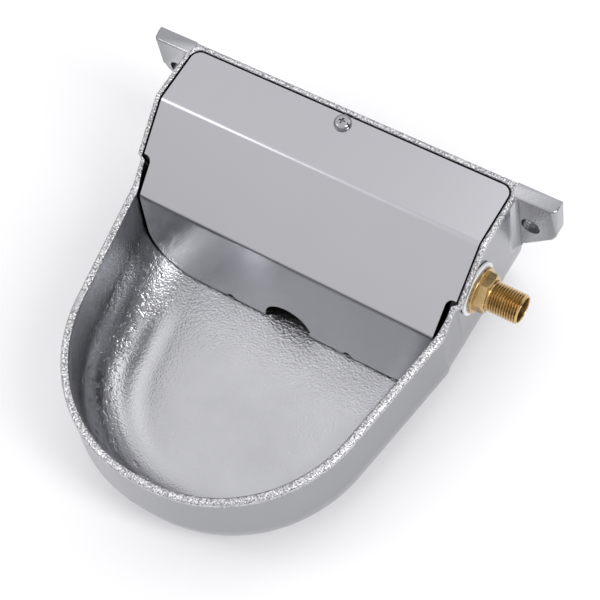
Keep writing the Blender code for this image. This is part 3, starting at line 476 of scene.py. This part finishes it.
def round_inset(height, radius):
    """How far a rounded foot lies inside its wall at a height."""
    return 0.0 if height >= radius else radius - math.sqrt(radius**2 - (radius - height) ** 2)


def foot_rows(base, side_round, back_round, half, back, offset):
    """Rows of a rounded foot, from its flat up to the wall."""
    rows = []
    for k in range(FOOT_STEPS + 1):
        height = side_round * (1 - math.cos(math.radians(90.0 * k / FOOT_STEPS)))
        inset = round_inset(height, side_round)
        set_back = round_inset(height, back_round)
        row = outline(half - inset, back - set_back, BACK_CORNER, offset - inset, FRONT_FLARE)
        rows.append(mirrored([(x, y, base + height + BASE) for x, y in row]))
    return rows


def rows_between(first, last, steps):
    """Evenly spaced rows between two others."""
    return [
        [tuple(a + (b - a) * k / steps for a, b in zip(start, end)) for start, end in zip(first, last)]
        for k in range(1, steps)
    ]


def rim_row(rear_half, back, corner, offset, drop, step=0.0):
    """A row that follows the rim at a depth under its top."""
    row = outline(rear_half, back, corner, offset, step=step)
    return mirrored([(x, y, rim_level(y) - drop + BASE) for x, y in row])


def under_rows():
    """Rows of the bead's underside, from the wall outwards."""
    lip = LIP_HALF + LIP_WIDTH
    narrow = CHAMBER_HALF - lip + BEAD_OVERHANG + JOG_STEP
    rows = []
    for k in range(UNDER_STEPS + 1):
        share = eased(k / UNDER_STEPS)
        half = CHAMBER_HALF + (lip - CHAMBER_HALF) * share
        offset = BEAD_WIDTH - BEAD_OVERHANG * (1 - share)
        drop = BEAD_DEPTH + BEAD_RUNOUT * (1 - k / UNDER_STEPS)
        step = narrow + (JOG_STEP - narrow) * share
        rows.append(rim_row(half, 0.0, BACK_CORNER, offset, drop, step))
    return rows


def bead_rows():
    """Rows over the bead's round, from its outer side to its inner one."""
    rows = []
    for k in range(BEAD_STEPS + 1):
        turn = math.radians(180.0 * k / BEAD_STEPS)
        share = (1 + math.cos(turn)) / 2
        half = LIP_HALF + LIP_WIDTH * share
        corner = LIP_CORNER + (BACK_CORNER - LIP_CORNER) * share
        drop = BEAD_ROUND * (1 - math.sin(turn))
        rows.append(rim_row(half, BACK_LIP * (share - 1), corner, BEAD_WIDTH * share, drop, JOG_STEP))
    return rows


def ledge_row(half, back, runout, step=0.0):
    """An edge of the ledge under the cover, which runs out into the wall past the jog."""
    row = []
    for x, y in outline(half, back, LIP_CORNER, 0.0, step=step):
        sheet = SHEET if y > BEND_Y else SHEET / math.cos(SLOPE)
        drop = COVER_DROP + sheet + COVER_GAP + (0.0 if y > JOG_END else runout)
        row.append((x, y, rim_level(y) - drop + BASE))
    return mirrored(row)


def casting_rows():
    """The casting's rows, from its foot over its rim down to its floor, and those that carry a mark."""
    outside = foot_rows(0.0, BASE_ROUND, BACK_ROUND, CHAMBER_HALF, 0.0, BELLY)
    under = under_rows()
    outside += rows_between(outside[-1], under[0], WALL_STEPS)
    bead = bead_rows()
    ledge = [
        ledge_row(LIP_HALF, -BACK_LIP, 0.0, JOG_STEP),
        ledge_row(CHAMBER_INSIDE, -BACK_WALL, LEDGE_RUNOUT),
        rim_row(CHAMBER_INSIDE, -BACK_WALL, LIP_CORNER, 0.0, RIM_DEPTH),
    ]
    inside = foot_rows(FLOOR, FLOOR_ROUND, BACK_FLOOR_ROUND, CHAMBER_INSIDE, -BACK_WALL, BELLY - WALL)
    marked = {
        "rim": under[1:] + bead,
        "wall": inside[FLOOR_ROWS:],
        # The ledge under the cover's edge, behind the jog, carries the painted shade of the gap
        "painted_shade": [[point for point in row if point[1] > JOG_END] for row in ledge[:2]],
        # The outer side is marked, to be painted darker as shade
        "outside": outside + under[:1],
    }
    return outside + under + bead + ledge + inside[::-1], marked


def mark_points(obj, name, rows):
    """A point attribute that is 1 on these rows and 0 elsewhere. Vector rounds as the mesh does."""
    mark = obj.data.attributes.new(name, "FLOAT", "POINT")
    places = {rounded(Vector(point)) for row in rows for point in row}
    for corner, value in zip(obj.data.vertices, mark.data):
        value.value = float(rounded(corner.co) in places)


def ear_foot(x):
    """Height of the ear's slanted foot."""
    return EAR_SIDE_FOOT - (PLATE_HALF - x) * math.tan(EAR_SLOPE)


def cut_foot(obj, side):
    """Cuts away what lies below the ear's slanted foot."""
    pick(obj, "polygons", lambda corners: True)
    bpy.ops.mesh.bisect(
        plane_co=(side * PLATE_HALF, 0.0, EAR_SIDE_FOOT + BASE),
        plane_no=(side * math.sin(EAR_SLOPE), 0.0, -math.cos(EAR_SLOPE)),
        use_fill=True,
        clear_outer=True,
    )
    done()


def on_ear_end(point):
    """Whether a point lies on the ear's outer end."""
    return abs(abs(point.x) - PLATE_HALF) < NEAR


def model_ear(side):
    """An ear of the wall plate: a block with a slanted foot, a rounded corner and broken edges."""
    low = (side * EAR_ROOT, -PLATE_THICKNESS, ear_foot(EAR_ROOT) + BASE - EAR_CUT)
    ear = block("ear", low, (side * PLATE_HALF, 0.0, PLATE_TOP + BASE))
    cut_foot(ear, side)
    foot = EAR_SIDE_FOOT + BASE
    lower_corner = all_of(lambda point: on_ear_end(point) and abs(point.z - foot) < NEAR)
    round_edges(ear, lower_corner, EAR_LOWER_ROUND * math.tan(EAR_SLOPE / 2), segments=10)
    front_corner = all_of(lambda point: on_ear_end(point) and point.y < -PLATE_THICKNESS + NEAR)
    round_edges(ear, front_corner, EAR_PLAN_ROUND, segments=8)
    sharp = sharp_edges(ear, limit=30.0)
    in_front = all_of(lambda point: point.y < EAR_PLAN_ROUND - PLATE_THICKNESS + NEAR)
    at_root = all_of(lambda point: abs(point.x) < EAR_ROOT + NEAR)
    round_edges(
        ear,
        lambda corners: edge_key(corners) in sharp and in_front(corners) and not at_root(corners),
        EAR_BREAK,
        segments=5,
    )
    return ear


def model_ear_fillet(side):
    """Hollow fillet between the ear's face and the chamber's side wall."""
    edge = side * (CHAMBER_HALF + EAR_FILLET)
    front = -PLATE_THICKNESS - EAR_FILLET
    low = (side * EAR_ROOT, front, ear_foot(EAR_ROOT) + BASE - EAR_CUT)
    fillet = block("ear_fillet", low, (edge, -PLATE_THICKNESS / 2, PLATE_TOP - EAR_FILLET_DROP + BASE))
    drill(fillet, (edge, front, -OUTSIDE / 2), (edge, front, OUTSIDE / 2), EAR_FILLET, steps=64)
    cut_foot(fillet, side)
    return fillet


def slot_tool(x):
    """A round cutter pulled apart upwards and downwards."""
    tool = rod("slot_tool", (x, SLOT_CUT[0], 0.0), (x, SLOT_CUT[1], 0.0), SLOT_RADIUS, steps=48)
    for way in (1, -1):
        pick(tool, "vertices", all_of(lambda point: point.z * way > NEAR))
        bpy.ops.transform.translate(value=(0.0, 0.0, way * SLOT_STRAIGHT))
        done()
    return tool


def model_casting():
    """The bowl, its float chamber and its wall plate in one casting."""
    rows, marked = casting_rows()
    casting = loft("bowl_casting_fine", rows)
    for name, marked_rows in marked.items():
        mark_points(casting, name, marked_rows)
    for side in (1, -1):
        combine(casting, model_ear(side), "UNION")
        combine(casting, model_ear_fillet(side), "UNION")
    top = PLATE_TOP - COVER_DROP - SHEET - COVER_GAP + BASE
    boss = rod("boss", (0, SCREW_Y, top - BOSS_HEIGHT), (0, SCREW_Y, top), BOSS_RADIUS, steps=48)
    combine(casting, boss, "UNION")
    for x in (RIGHT_SLOT, LEFT_SLOT):
        combine(casting, slot_tool(x), "DIFFERENCE")
    drill_for_tail(casting, WALL_CUT, steps=64)
    drill(casting, (0, SCREW_Y, top - CUT), (0, SCREW_Y, top + CUT), SCREW_HOLE, steps=32)
    shade(casting, limit=38.0)
    finish(casting, "housing", "cast_aluminium", "bowl_casting")


# Cover


def folded_sheet():
    """The cover's sheet, pulled out fold by fold, bent round and given its thickness."""
    deselect_all()
    depth = COVER_REAR - BEND_Y
    bpy.ops.mesh.primitive_plane_add(size=1.0, location=(0.0, COVER_REAR - depth / 2, COVER_TOP))
    bpy.context.active_object.scale = (2 * COVER_HALF, depth, 1.0)
    cover = added("cover_plate_fine")
    down_slope = (0.0, FOLD_Y - BEND_Y, FOLD_Z - COVER_TOP)
    down_baffle = (0.0, FOOT_Y - FOLD_Y, FOOT_Z - FOLD_Z)
    for y, pull in ((BEND_Y, down_slope), (FOLD_Y, down_baffle)):
        pick(cover, "edges", all_of(lambda point: abs(point.y - y) < NEAR))
        bpy.ops.mesh.extrude_region_move(TRANSFORM_OT_translate={"value": pull})
        done()
    pick(cover, "polygons", lambda corners: True)
    bpy.ops.mesh.normals_make_consistent(inside=False)
    done()
    fold_turn = math.atan2(FOLD_Z - FOOT_Z, FOLD_Y - FOOT_Y) - SLOPE
    for y, radius, turn in ((BEND_Y, BEND_RADIUS, SLOPE), (FOLD_Y, FOLD_RADIUS, fold_turn)):
        at_fold = all_of(lambda point: abs(point.y - y) < NEAR)
        round_edges(cover, at_fold, radius * math.tan(turn / 2), segments=12)
    take(cover)
    wall = cover.modifiers.new("sheet", "SOLIDIFY")
    wall.thickness = SHEET
    wall.offset = -1.0
    wall.use_even_offset = True
    bpy.ops.object.modifier_apply(modifier=wall.name)
    return cover


def notch_tool(side):
    """A cutter for all that lies beside the baffle, up to the notch's rounded inner corner."""
    notch = block(
        "notch", (side * BAFFLE_HALF, -OUTSIDE, -OUTSIDE), (side * OUTSIDE, NOTCH_Y, OUTSIDE / 2)
    )
    inner_corner = all_of(lambda point: abs(point.x) < BAFFLE_HALF + NEAR and point.y > NOTCH_Y - NEAR)
    round_edges(notch, inner_corner, NOTCH_ROUND, segments=8)
    return notch


def model_cover():
    """The folded sheet with rounded corners, notches beside its baffle and holes cut through it."""
    cover = folded_sheet()
    for side in (1, -1):
        rear_corner = all_of(
            lambda point: point.y > COVER_REAR - ABOUT and point.x * side > COVER_HALF - ABOUT
        )
        round_edges(cover, rear_corner, COVER_CORNER, segments=12)
    for side in (1, -1):
        combine(cover, notch_tool(side), "DIFFERENCE")
    for side in (1, -1):
        lower_corner = all_of(
            lambda point: point.z < FOOT_Z + FOOT_BAND and point.x * side > BAFFLE_HALF - ABOUT
        )
        round_edges(cover, lower_corner, BAFFLE_CORNER, segments=24)
    # The half-round cut-out and the two nicks are drilled square to the baffle, at its lower edge
    through = CUT * Vector((0.0, FOOT_Z - FOLD_Z, FOLD_Y - FOOT_Y)).normalized()
    middle = Vector((0.0, FOOT_Y, FOOT_Z))
    drill(cover, middle - through, middle + through, MOUSE_HOLE, steps=96)
    for x in (NICK_PLACE, -NICK_PLACE):
        place = middle + Vector((x, 0.0, 0.0))
        drill(cover, place - through, place + through, NICK_RADIUS, steps=12)
    above, below = [(0, SCREW_Y, COVER_TOP + reach) for reach in (CUT / 2, -CUT / 2)]
    drill(cover, below, above, SCREW_HOLE, steps=32)
    soften(cover, COVER_BREAK, segments=2, limit=60.0)
    shade(cover, limit=30.0)
    finish(cover, "housing", "satin_stainless", "cover_plate")


def model_screw():
    """Pan head screw with a cross recess."""
    head_top = SCREW_SEAT + HEAD_HEIGHT
    seat = (0, SCREW_Y, SCREW_SEAT)
    screw = rod("cover_screw_fine", seat, (0, SCREW_Y, head_top), HEAD_RADIUS, steps=64)
    round_edges(screw, all_of(lambda point: point.z > head_top - ABOUT), HEAD_ROUND, segments=12)
    shank_end = (0, SCREW_Y, SCREW_SEAT - SHANK_LENGTH)
    shank = rod("shank", shank_end, (0, SCREW_Y, SCREW_SEAT + SHANK_OVERLAP), SHANK_RADIUS, steps=32)
    combine(screw, shank, "UNION")
    floor = SCREW_SEAT + RECESS_FLOOR
    for wide, deep in ((RECESS_REACH, RECESS_HALF), (RECESS_HALF, RECESS_REACH)):
        low = (-wide, SCREW_Y - deep, floor)
        arm = block("recess", low, (wide, SCREW_Y + deep, SCREW_SEAT + RECESS_TOP))
        pick(arm, "polygons", all_of(lambda point: point.z < floor + ABOUT))
        bpy.ops.transform.resize(
            value=(RECESS_TAPER, RECESS_TAPER, 1.0), center_override=(0, SCREW_Y, floor)
        )
        done()
        combine(screw, arm, "DIFFERENCE")
    soften(screw, SCREW_BREAK, segments=2, limit=50.0)
    shade(screw, limit=30.0)
    finish(screw, "housing", "bright_stainless", "cover_screw")


# Valve


def model_washer():
    """Round plastic washer against the side wall."""
    start, end = on_axis(WASHER_START), on_axis(WASHER_END)
    washer = rod("outer_washer_fine", start, end, WASHER_RADIUS, steps=128)
    drill_for_tail(washer, WASHER_CUT, steps=96)
    soften(washer, WASHER_ROUND, segments=4, limit=50.0)
    shade(washer, limit=30.0)
    finish(washer, "housing", "white_nylon", "outer_washer")


def corner_cone():
    """A cone that narrows to the circle that the nut's chamfer leaves on its end face."""
    deselect_all()
    depth = CONE_SPREAD * math.tan(NUT_CHAMFER)
    bpy.ops.mesh.primitive_cone_add(
        vertices=96,
        radius1=NUT_FACE_RADIUS + CONE_SPREAD,
        radius2=NUT_FACE_RADIUS,
        depth=depth,
        location=on_axis(NUT_END - depth / 2),
        rotation=(0.0, math.pi / 2, 0.0),
    )
    return added("cone")


def model_nut():
    """Flange and hexagon, its corners cut back by a cone and its edges broken."""
    flange_end = NUT_START + NUT_FLANGE
    nut = rod("back_nut_fine", on_axis(NUT_START), on_axis(flange_end), NUT_FLANGE_RADIUS, steps=96)
    soften(nut, NUT_FLANGE_ROUND, segments=3, limit=50.0)
    start = on_axis(flange_end - NUT_FLANGE_ROUND)
    hexagon = rod("hexagon", start, on_axis(NUT_END), NUT_HEX / math.sqrt(3), steps=6, turn=NUT_TURN)
    combine(hexagon, corner_cone(), "INTERSECT")
    combine(nut, hexagon, "UNION")
    drill_for_tail(nut, NUT_CUT, steps=96)
    soften(nut, NUT_BREAK, segments=2, limit=25.0)
    shade(nut, limit=30.0)
    finish(nut, "housing", "turned_brass", "back_nut")


def round_point(x, radius, turn):
    """A point round the valve's axis."""
    return x, VALVE.y + radius * math.cos(turn), VALVE.z + radius * math.sin(turn)


def ring(x, radius):
    return [round_point(x, radius, turn) for turn in TAIL_TURNS]


def thread_radius(x, turn):
    """Radius of the pipe thread's surface at a place along the tail and a turn round it."""
    phase = ((x - TAIL_END) / THREAD_PITCH - turn / math.tau) % 1.0
    flank = abs(2 * phase - 1)
    groove = THREAD_DEPTH * (1 - flank)
    fade = eased((x - NUT_END - THREAD_GAP) / THREAD_FADE)
    chamfer = max(0.0, x - TAIL_END + THREAD_CHAMFER) * THREAD_CHAMFER_SLOPE
    return min(TAIL_RADIUS - groove * fade, TAIL_RADIUS - chamfer)


def threaded_tail():
    """The tail from inside the nut to its mouth, a tube whose last row meets its first."""
    rows = [ring(TAIL_START, TAIL_BORE), ring(TAIL_START, TAIL_RADIUS)]
    for k in range(1, TAIL_STEPS + 1):
        x = TAIL_START + (TAIL_END - TAIL_START) * k / TAIL_STEPS
        rows.append([round_point(x, thread_radius(x, turn), turn) for turn in TAIL_TURNS])
    rows.append(ring(TAIL_END, TAIL_BORE + TAIL_MOUTH))
    rows.append(ring(TAIL_END - TAIL_MOUTH, TAIL_BORE))
    return loft("threaded_tail", [*rows, rows[0]])


def mark_grooves(body):
    """A point attribute that grows from 0 on the thread's crests to 1 at its roots."""
    mark = body.data.attributes.new("groove", "FLOAT", "POINT")
    for corner, value in zip(body.data.vertices, mark.data):
        radius = math.hypot(corner.co.y - VALVE.y, corner.co.z - VALVE.z)
        threaded = NUT_END < corner.co.x < TAIL_END - THREAD_CHAMFER and radius > TAIL_BORE + ABOUT
        value.value = (TAIL_RADIUS - radius) / THREAD_DEPTH if threaded else 0.0


def model_valve_body():
    """A copy of the CAD body without its tags, its plain tail cut off and a threaded one put on."""
    deselect_all()
    body = NODES["valve_body"].copy()
    body.data = NODES["valve_body"].data.copy()
    body.parent = None
    body.matrix_world = NODES["valve_body"].matrix_world
    bpy.context.scene.collection.objects.link(body)
    for key in list(body.keys()):
        del body[key]
    take(body)
    body.name = body.data.name = "valve_body_fine"
    bpy.ops.object.transform_apply(location=True, rotation=True, scale=True)
    bpy.ops.object.mode_set(mode="EDIT")
    bpy.ops.mesh.select_all(action="SELECT")
    bpy.ops.mesh.remove_doubles(threshold=1e-6)
    done()
    drill(body, on_axis(TAIL_CUT[0]), on_axis(TAIL_CUT[1]), TAIL_CUT_RADIUS, steps=96)
    combine(body, threaded_tail(), "UNION")
    mark_grooves(body)
    shade(body, limit=40.0)
    finish(body, "housing", "turned_brass", "valve_body")


# Materials


def colour(code):
    """Linear colour from an sRGB hex code."""
    parts = [int(code[k : k + 2], 16) / 255 for k in (1, 3, 5)]
    linear = [part / 12.92 if part <= 0.04045 else ((part + 0.055) / 1.055) ** 2.4 for part in parts]
    return (*linear, 1.0)


def add_node(tree, kind, inputs=(), output=0, **settings):
    """A shader node with its settings, and its inputs given as values or as sockets to link."""
    made = tree.nodes.new("ShaderNode" + kind)
    for name, value in settings.items():
        setattr(made, name, value)
    for name, value in dict(inputs).items():
        if isinstance(value, bpy.types.NodeSocket):
            tree.links.new(value, made.inputs[name])
        else:
            made.inputs[name].default_value = value
    return made.outputs[output]


def new_material(name, base, roughness, metallic):
    """A material with its node tree and its shader."""
    made = bpy.data.materials.new(name)
    made.use_nodes = True
    shader = made.node_tree.nodes["Principled BSDF"]
    shader.inputs["Base Color"].default_value = colour(base)
    shader.inputs["Roughness"].default_value = roughness
    shader.inputs["Metallic"].default_value = metallic
    return made, made.node_tree, shader


def per_mm(size):
    """Noise scale, in turns to the metre, for grains of this many millimetres."""
    return 1000.0 / size


def between(value, start, end, low=0.0, high=1.0):
    """Inputs of a Map Range node that takes start..end of a value to low..high."""
    return {"Value": value, "From Min": start, "From Max": end, "To Min": low, "To Max": high}


def casting_marks(node, where):
    """Where the casting is rim, inner wall, outer side painted darker as shade, and gap or slot painted
    dark as shade, each from 0 to 1.
    """
    rim, wall, painted_shade, outside = [
        node("Attribute", output="Fac", attribute_name=name) for name in ("rim", "wall", "painted_shade", "outside")
    ]
    # The ears have neither the rim's flecks nor the wall's drag marks
    across = node("Math", {0: node("SeparateXYZ", {"Vector": where}, "X")}, operation="ABSOLUTE")
    off_ears = node("MapRange", between(across, *EARS_START, 1.0, 0.0))
    rim = node("Math", {0: rim, 1: off_ears}, operation="MULTIPLY")
    wall = node("Math", {0: wall, 1: off_ears}, operation="MULTIPLY")
    # The back of the ears gets the same painted shade as the back of the plate
    back = node("MapRange", between(node("SeparateXYZ", {"Vector": where}, "Y"), *BACK_START))
    outside = node("Math", {0: outside, 1: back}, operation="MAXIMUM")
    # Painted shade, dark in the gap under the cover's edge and, by their place, inside the two bolt slots,
    # whose height is squashed to their width
    squashed = node("VectorMath", {0: where, 1: (1.0, 0.0, SLOT_SQUASH)}, operation="MULTIPLY")
    for x in (RIGHT_SLOT, LEFT_SLOT):
        reach = node("VectorMath", {0: squashed, 1: (x, 0.0, 0.0)}, "Value", operation="DISTANCE")
        slot = node("MapRange", between(reach, *SLOT_EDGE, 0.97, 0.0))
        painted_shade = node("Math", {0: painted_shade, 1: slot}, operation="MAXIMUM")
    return rim, wall, painted_shade, outside


def casting_relief(node, where, rim, wall):
    """The skin's height: orange peel all over, knocks on the rim, drag marks and dents on the walls."""
    # Orange peel of the sand, about 0.5 mm on the real one: 1.5 mm here, as finer wouldn't show.
    # It is deeper in the band of wall before the baffle, and less deep on all of the walls.
    along = node("SeparateXYZ", {"Vector": where}, "Y")
    before_baffle = node("MapRange", between(along, *BEFORE_BAFFLE, 1.3, 3.4))
    behind_baffle = node("MapRange", between(along, *BEHIND_BAFFLE, 3.4, 1.3))
    depth = node("Math", {0: before_baffle, 1: behind_baffle}, operation="MINIMUM")
    smoother = node("MapRange", between(wall, 0.0, 1.0, 1.0, 0.8))
    depth = node("Math", {0: depth, 1: smoother}, operation="MULTIPLY")
    peel = node("TexNoise", {"Vector": where, "Scale": per_mm(1.5), "Detail": 2.0, "Roughness": 0.5})
    peel = node("Math", {0: peel, 1: depth}, operation="MULTIPLY")
    # Knocks of 1.4 mm on the rim
    knocks = node("TexNoise", {"Vector": where, "Scale": per_mm(1.4), "Detail": 2.0, "Roughness": 0.6})
    knocks = node("Math", {0: knocks, 1: 3.2}, operation="MULTIPLY")
    knocks = node("Math", {0: knocks, 1: rim}, operation="MULTIPLY")
    # Drag marks 4 mm high and 36 mm long, and dents of 5 mm, on the bowl's walls
    lengthened = node("Mapping", {"Vector": where, "Scale": (1 / 9, 1 / 9, 1.0)})
    marks = node("TexNoise", {"Vector": lengthened, "Scale": per_mm(4.0), "Detail": 3.0, "Roughness": 0.6})
    marks = node("Math", {0: marks, 1: 1.5}, operation="MULTIPLY")
    dents = node("TexNoise", {"Vector": where, "Scale": per_mm(5.0), "Detail": 2.0, "Roughness": 0.6})
    dents = node("MapRange", between(dents, 0.55, 0.75, 0.0, 2.4))
    worn = node("Math", {0: marks, 1: dents}, operation="ADD")
    worn = node("Math", {0: worn, 1: wall}, operation="MULTIPLY")
    height = node("Math", {0: peel, 1: worn}, operation="ADD")
    return node("Math", {0: height, 1: knocks}, operation="ADD")


def sand_cast_aluminium():
    """Sand casting with an orange-peel skin: drag marks round the bowl, a fettled rim flecked with painted
    glints and shade.
    """
    made, tree, shader = new_material("sand_cast_aluminium", "#C9CACD", 0.3, 1.0)
    node = partial(add_node, tree)
    where = node("TexCoord", output="Object")
    rim, wall, painted_shade, outside = casting_marks(node, where)
    height = casting_relief(node, where, rim, wall)
    tree.links.new(node("Bump", {"Height": height, "Distance": 0.00016}), shader.inputs["Normal"])

    # Duller and sleeker clouds of 45 mm, and walls a little sleeker than the rest
    cloud = node("TexNoise", {"Vector": where, "Scale": per_mm(45.0), "Detail": 3.0, "Roughness": 0.55})
    dull = node("MapRange", between(cloud, 0.3, 0.7, 0.19, 0.25))
    sleek = node("Math", {0: wall, 1: 0.05}, operation="MULTIPLY")
    tree.links.new(node("Math", {0: dull, 1: sleek}, operation="SUBTRACT"), shader.inputs["Roughness"])

    # Painted glints and painted shade, in flecks of 1.1 mm, stand for the rim's finer tool marks, which
    # wouldn't show
    glint_and_shade_flecks = node("TexNoise", {"Vector": where, "Scale": per_mm(1.1), "Detail": 3.0, "Roughness": 0.6})
    glint_and_shade_flecks = node("MapRange", between(glint_and_shade_flecks, 0.36, 0.62))
    clouded = node("MapRange", between(cloud, 0.3, 0.7))
    inside = node("Mix", {0: clouded, 6: colour("#BBBCBF"), 7: colour("#C3C4C7")}, 2, data_type="RGBA")
    bead = node("Mix", {0: glint_and_shade_flecks, 6: colour("#7E7E81"), 7: colour("#EAEAEC")}, 2, data_type="RGBA")
    # The outer side is painted darker than the inside, as shade
    skin = node("Mix", {0: outside, 6: inside, 7: colour("#9C9DA0")}, 2, data_type="RGBA")
    metal = node("Mix", {0: rim, 6: skin, 7: bead}, 2, data_type="RGBA")
    # The gap under the cover and the two slots get painted shade, a near-black colour
    tint = node("Mix", {0: painted_shade, 6: metal, 7: colour("#2A2A2C")}, 2, data_type="RGBA")
    tree.links.new(tint, shader.inputs["Base Color"])
    return made


def satin_stainless():
    """Cold-rolled sheet with a 2B finish: a soft mirror, faintly clouded and not quite flat."""
    made, tree, shader = new_material("satin_stainless", "#BBBBBF", 0.22, 1.0)
    node = partial(add_node, tree)
    where = node("TexCoord", output="Object")
    swell = node("TexNoise", {"Vector": where, "Scale": per_mm(30.0), "Detail": 1.0, "Roughness": 0.4})
    tree.links.new(node("Bump", {"Height": swell, "Distance": 0.00003}), shader.inputs["Normal"])
    cloud = node("TexNoise", {"Vector": where, "Scale": per_mm(50.0), "Detail": 3.0, "Roughness": 0.5})
    dull = node("MapRange", between(cloud, 0.3, 0.7, 0.18, 0.26))
    tree.links.new(dull, shader.inputs["Roughness"])
    return made


def turned_brass():
    """Machined brass, handled and a little dulled, darker in the thread's roots with grime and painted
    shade.
    """
    made, tree, shader = new_material("turned_brass", "#CEAE79", 0.27, 1.0)
    node = partial(add_node, tree)
    where = node("TexCoord", output="Object")
    cloud = node("TexNoise", {"Vector": where, "Scale": per_mm(6.0), "Detail": 3.0, "Roughness": 0.6})
    clouded = node("MapRange", between(cloud, 0.3, 0.7))
    tones = node("Mix", {0: clouded, 6: colour("#B99D6C"), 7: colour("#D2B582")}, 2, data_type="RGBA")
    # The thread's roots are darkened, partly as grime and partly as painted shade
    groove = node("Attribute", output="Fac", attribute_name="groove")
    deep = node("MapRange", between(groove, 0.1, 0.8))
    tint = node("Mix", {0: deep, 6: tones, 7: colour("#9C8154")}, 2, data_type="RGBA")
    tree.links.new(tint, shader.inputs["Base Color"])
    dull = node("MapRange", between(cloud, 0.3, 0.7, 0.22, 0.34))
    tree.links.new(dull, shader.inputs["Roughness"])
    return made


def moulded_nylon():
    """White nylon, plain and slightly waxy, as light goes about 2 mm deep."""
    made, _, shader = new_material("moulded_nylon", "#E4E7EB", 0.42, 0.0)
    shader.inputs["Subsurface Weight"].default_value = 0.15
    shader.inputs["Subsurface Radius"].default_value = (0.002, 0.002, 0.002)
    return made


def bright_stainless():
    """Polished stainless screw and pin: a near mirror."""
    return new_material("bright_stainless", "#A9A9AD", 0.14, 1.0)[0]


def nitrile_rubber():
    """Black nitrile rubber, matt."""
    return new_material("nitrile_rubber", "#16161A", 0.60, 0.0)[0]


def black_polypropylene():
    """Black polypropylene float, matt from its mould."""
    return new_material("black_polypropylene", "#1B1C1E", 0.45, 0.0)[0]


FINISHES = {
    "cast_aluminium": sand_cast_aluminium(),
    "satin_stainless": satin_stainless(),
    "bright_stainless": bright_stainless(),
    "turned_brass": turned_brass(),
    "white_nylon": moulded_nylon(),
    "black_rubber": nitrile_rubber(),
    "float_plastic": black_polypropylene(),
}

# Each CAD node takes the finish of its slot in the record
for entry in frame["record"]["subparts"]:
    for place in NODES[entry["node"]].material_slots:
        place.material = FINISHES[entry["material_slot"]]

# What the photograph shows is modelled again, finer
model_casting()
model_cover()
model_screw()
model_washer()
model_nut()
model_valve_body()


# Studio


def add_camera():
    """The photograph's camera, placed and turned as fitted."""
    lens = bpy.data.cameras.new("photo_camera")
    lens.sensor_width = SENSOR
    lens.lens = FOCAL_LENGTH
    lens.clip_start = CLIP_START
    camera = bpy.data.objects.new("photo_camera", lens)
    bpy.context.scene.collection.objects.link(camera)
    back = CAMERA_RIGHT.cross(CAMERA_UP)
    turn = Matrix((CAMERA_RIGHT, CAMERA_UP, back)).transposed().to_4x4()
    camera.matrix_world = Matrix.Translation(CAMERA_PLACE) @ turn
    bpy.context.scene.camera = camera


def add_softbox(name, place, target, size, watts):
    """A rectangular light that faces its target."""
    lamp = bpy.data.lights.new(name, "AREA")
    lamp.shape = "RECTANGLE"
    lamp.size, lamp.size_y = size
    lamp.energy = watts
    softbox = bpy.data.objects.new(name, lamp)
    bpy.context.scene.collection.objects.link(softbox)
    softbox.location = place
    softbox.rotation_euler = (Vector(place) - Vector(target)).to_track_quat("Z", "Y").to_euler()


def add_floor():
    """White paper sweep, just under the casting's base."""
    deselect_all()
    bpy.ops.mesh.primitive_plane_add(size=PAPER_SIZE, location=(0.0, 0.0, BASE - PAPER_GAP))
    floor = bpy.context.active_object
    floor.name = "paper_sweep"
    floor.data.materials.append(new_material("white_paper", "#FEFEFF", 0.9, 0.0)[0])


def add_world():
    """A white tent, dimmer near the ground, with a dark opening behind it on the right."""
    world = bpy.data.worlds.new("studio")
    world.use_nodes = True
    tree = world.node_tree
    node = partial(add_node, tree)
    way = node("TexCoord", output="Generated")
    right = node("MapRange", between(node("SeparateXYZ", {"Vector": way}, "X"), 0.16, 0.32))
    behind = node("MapRange", between(node("SeparateXYZ", {"Vector": way}, "Y"), -0.20, 0.10))
    opening = node("Math", {0: right, 1: behind}, operation="MULTIPLY")
    tent = node("MapRange", between(node("SeparateXYZ", {"Vector": way}, "Z"), 0.05, 0.60, 0.38, 1.05))
    shut = node("MapRange", between(opening, 0.0, 1.0, 1.0, 0.15))
    strength = node("Math", {0: tent, 1: shut}, operation="MULTIPLY")
    background = tree.nodes["Background"]
    background.inputs["Color"].default_value = colour("#FAF9FB")
    tree.links.new(strength, background.inputs["Strength"])
    bpy.context.scene.world = world


add_camera()
add_floor()
add_world()
add_softbox("left_key", (-1.00, -0.60, 1.33), (0.0, -0.05, 0.0), (0.50, 0.60), 2.0)
add_softbox("top_box", (-0.02, 0.55, 1.50), (0.0, -0.10, 0.0), (0.66, 0.70), 0.5)
add_softbox("right_box", (1.20, -0.16, 1.10), (0.0, -0.10, 0.0), (0.40, 0.90), 10.0)
add_softbox("back_key", (1.05, 1.25, 0.85), (0.0, -0.10, 0.0), (1.4, 1.2), 7.5)
bpy.context.scene.view_settings.view_transform = "Standard"
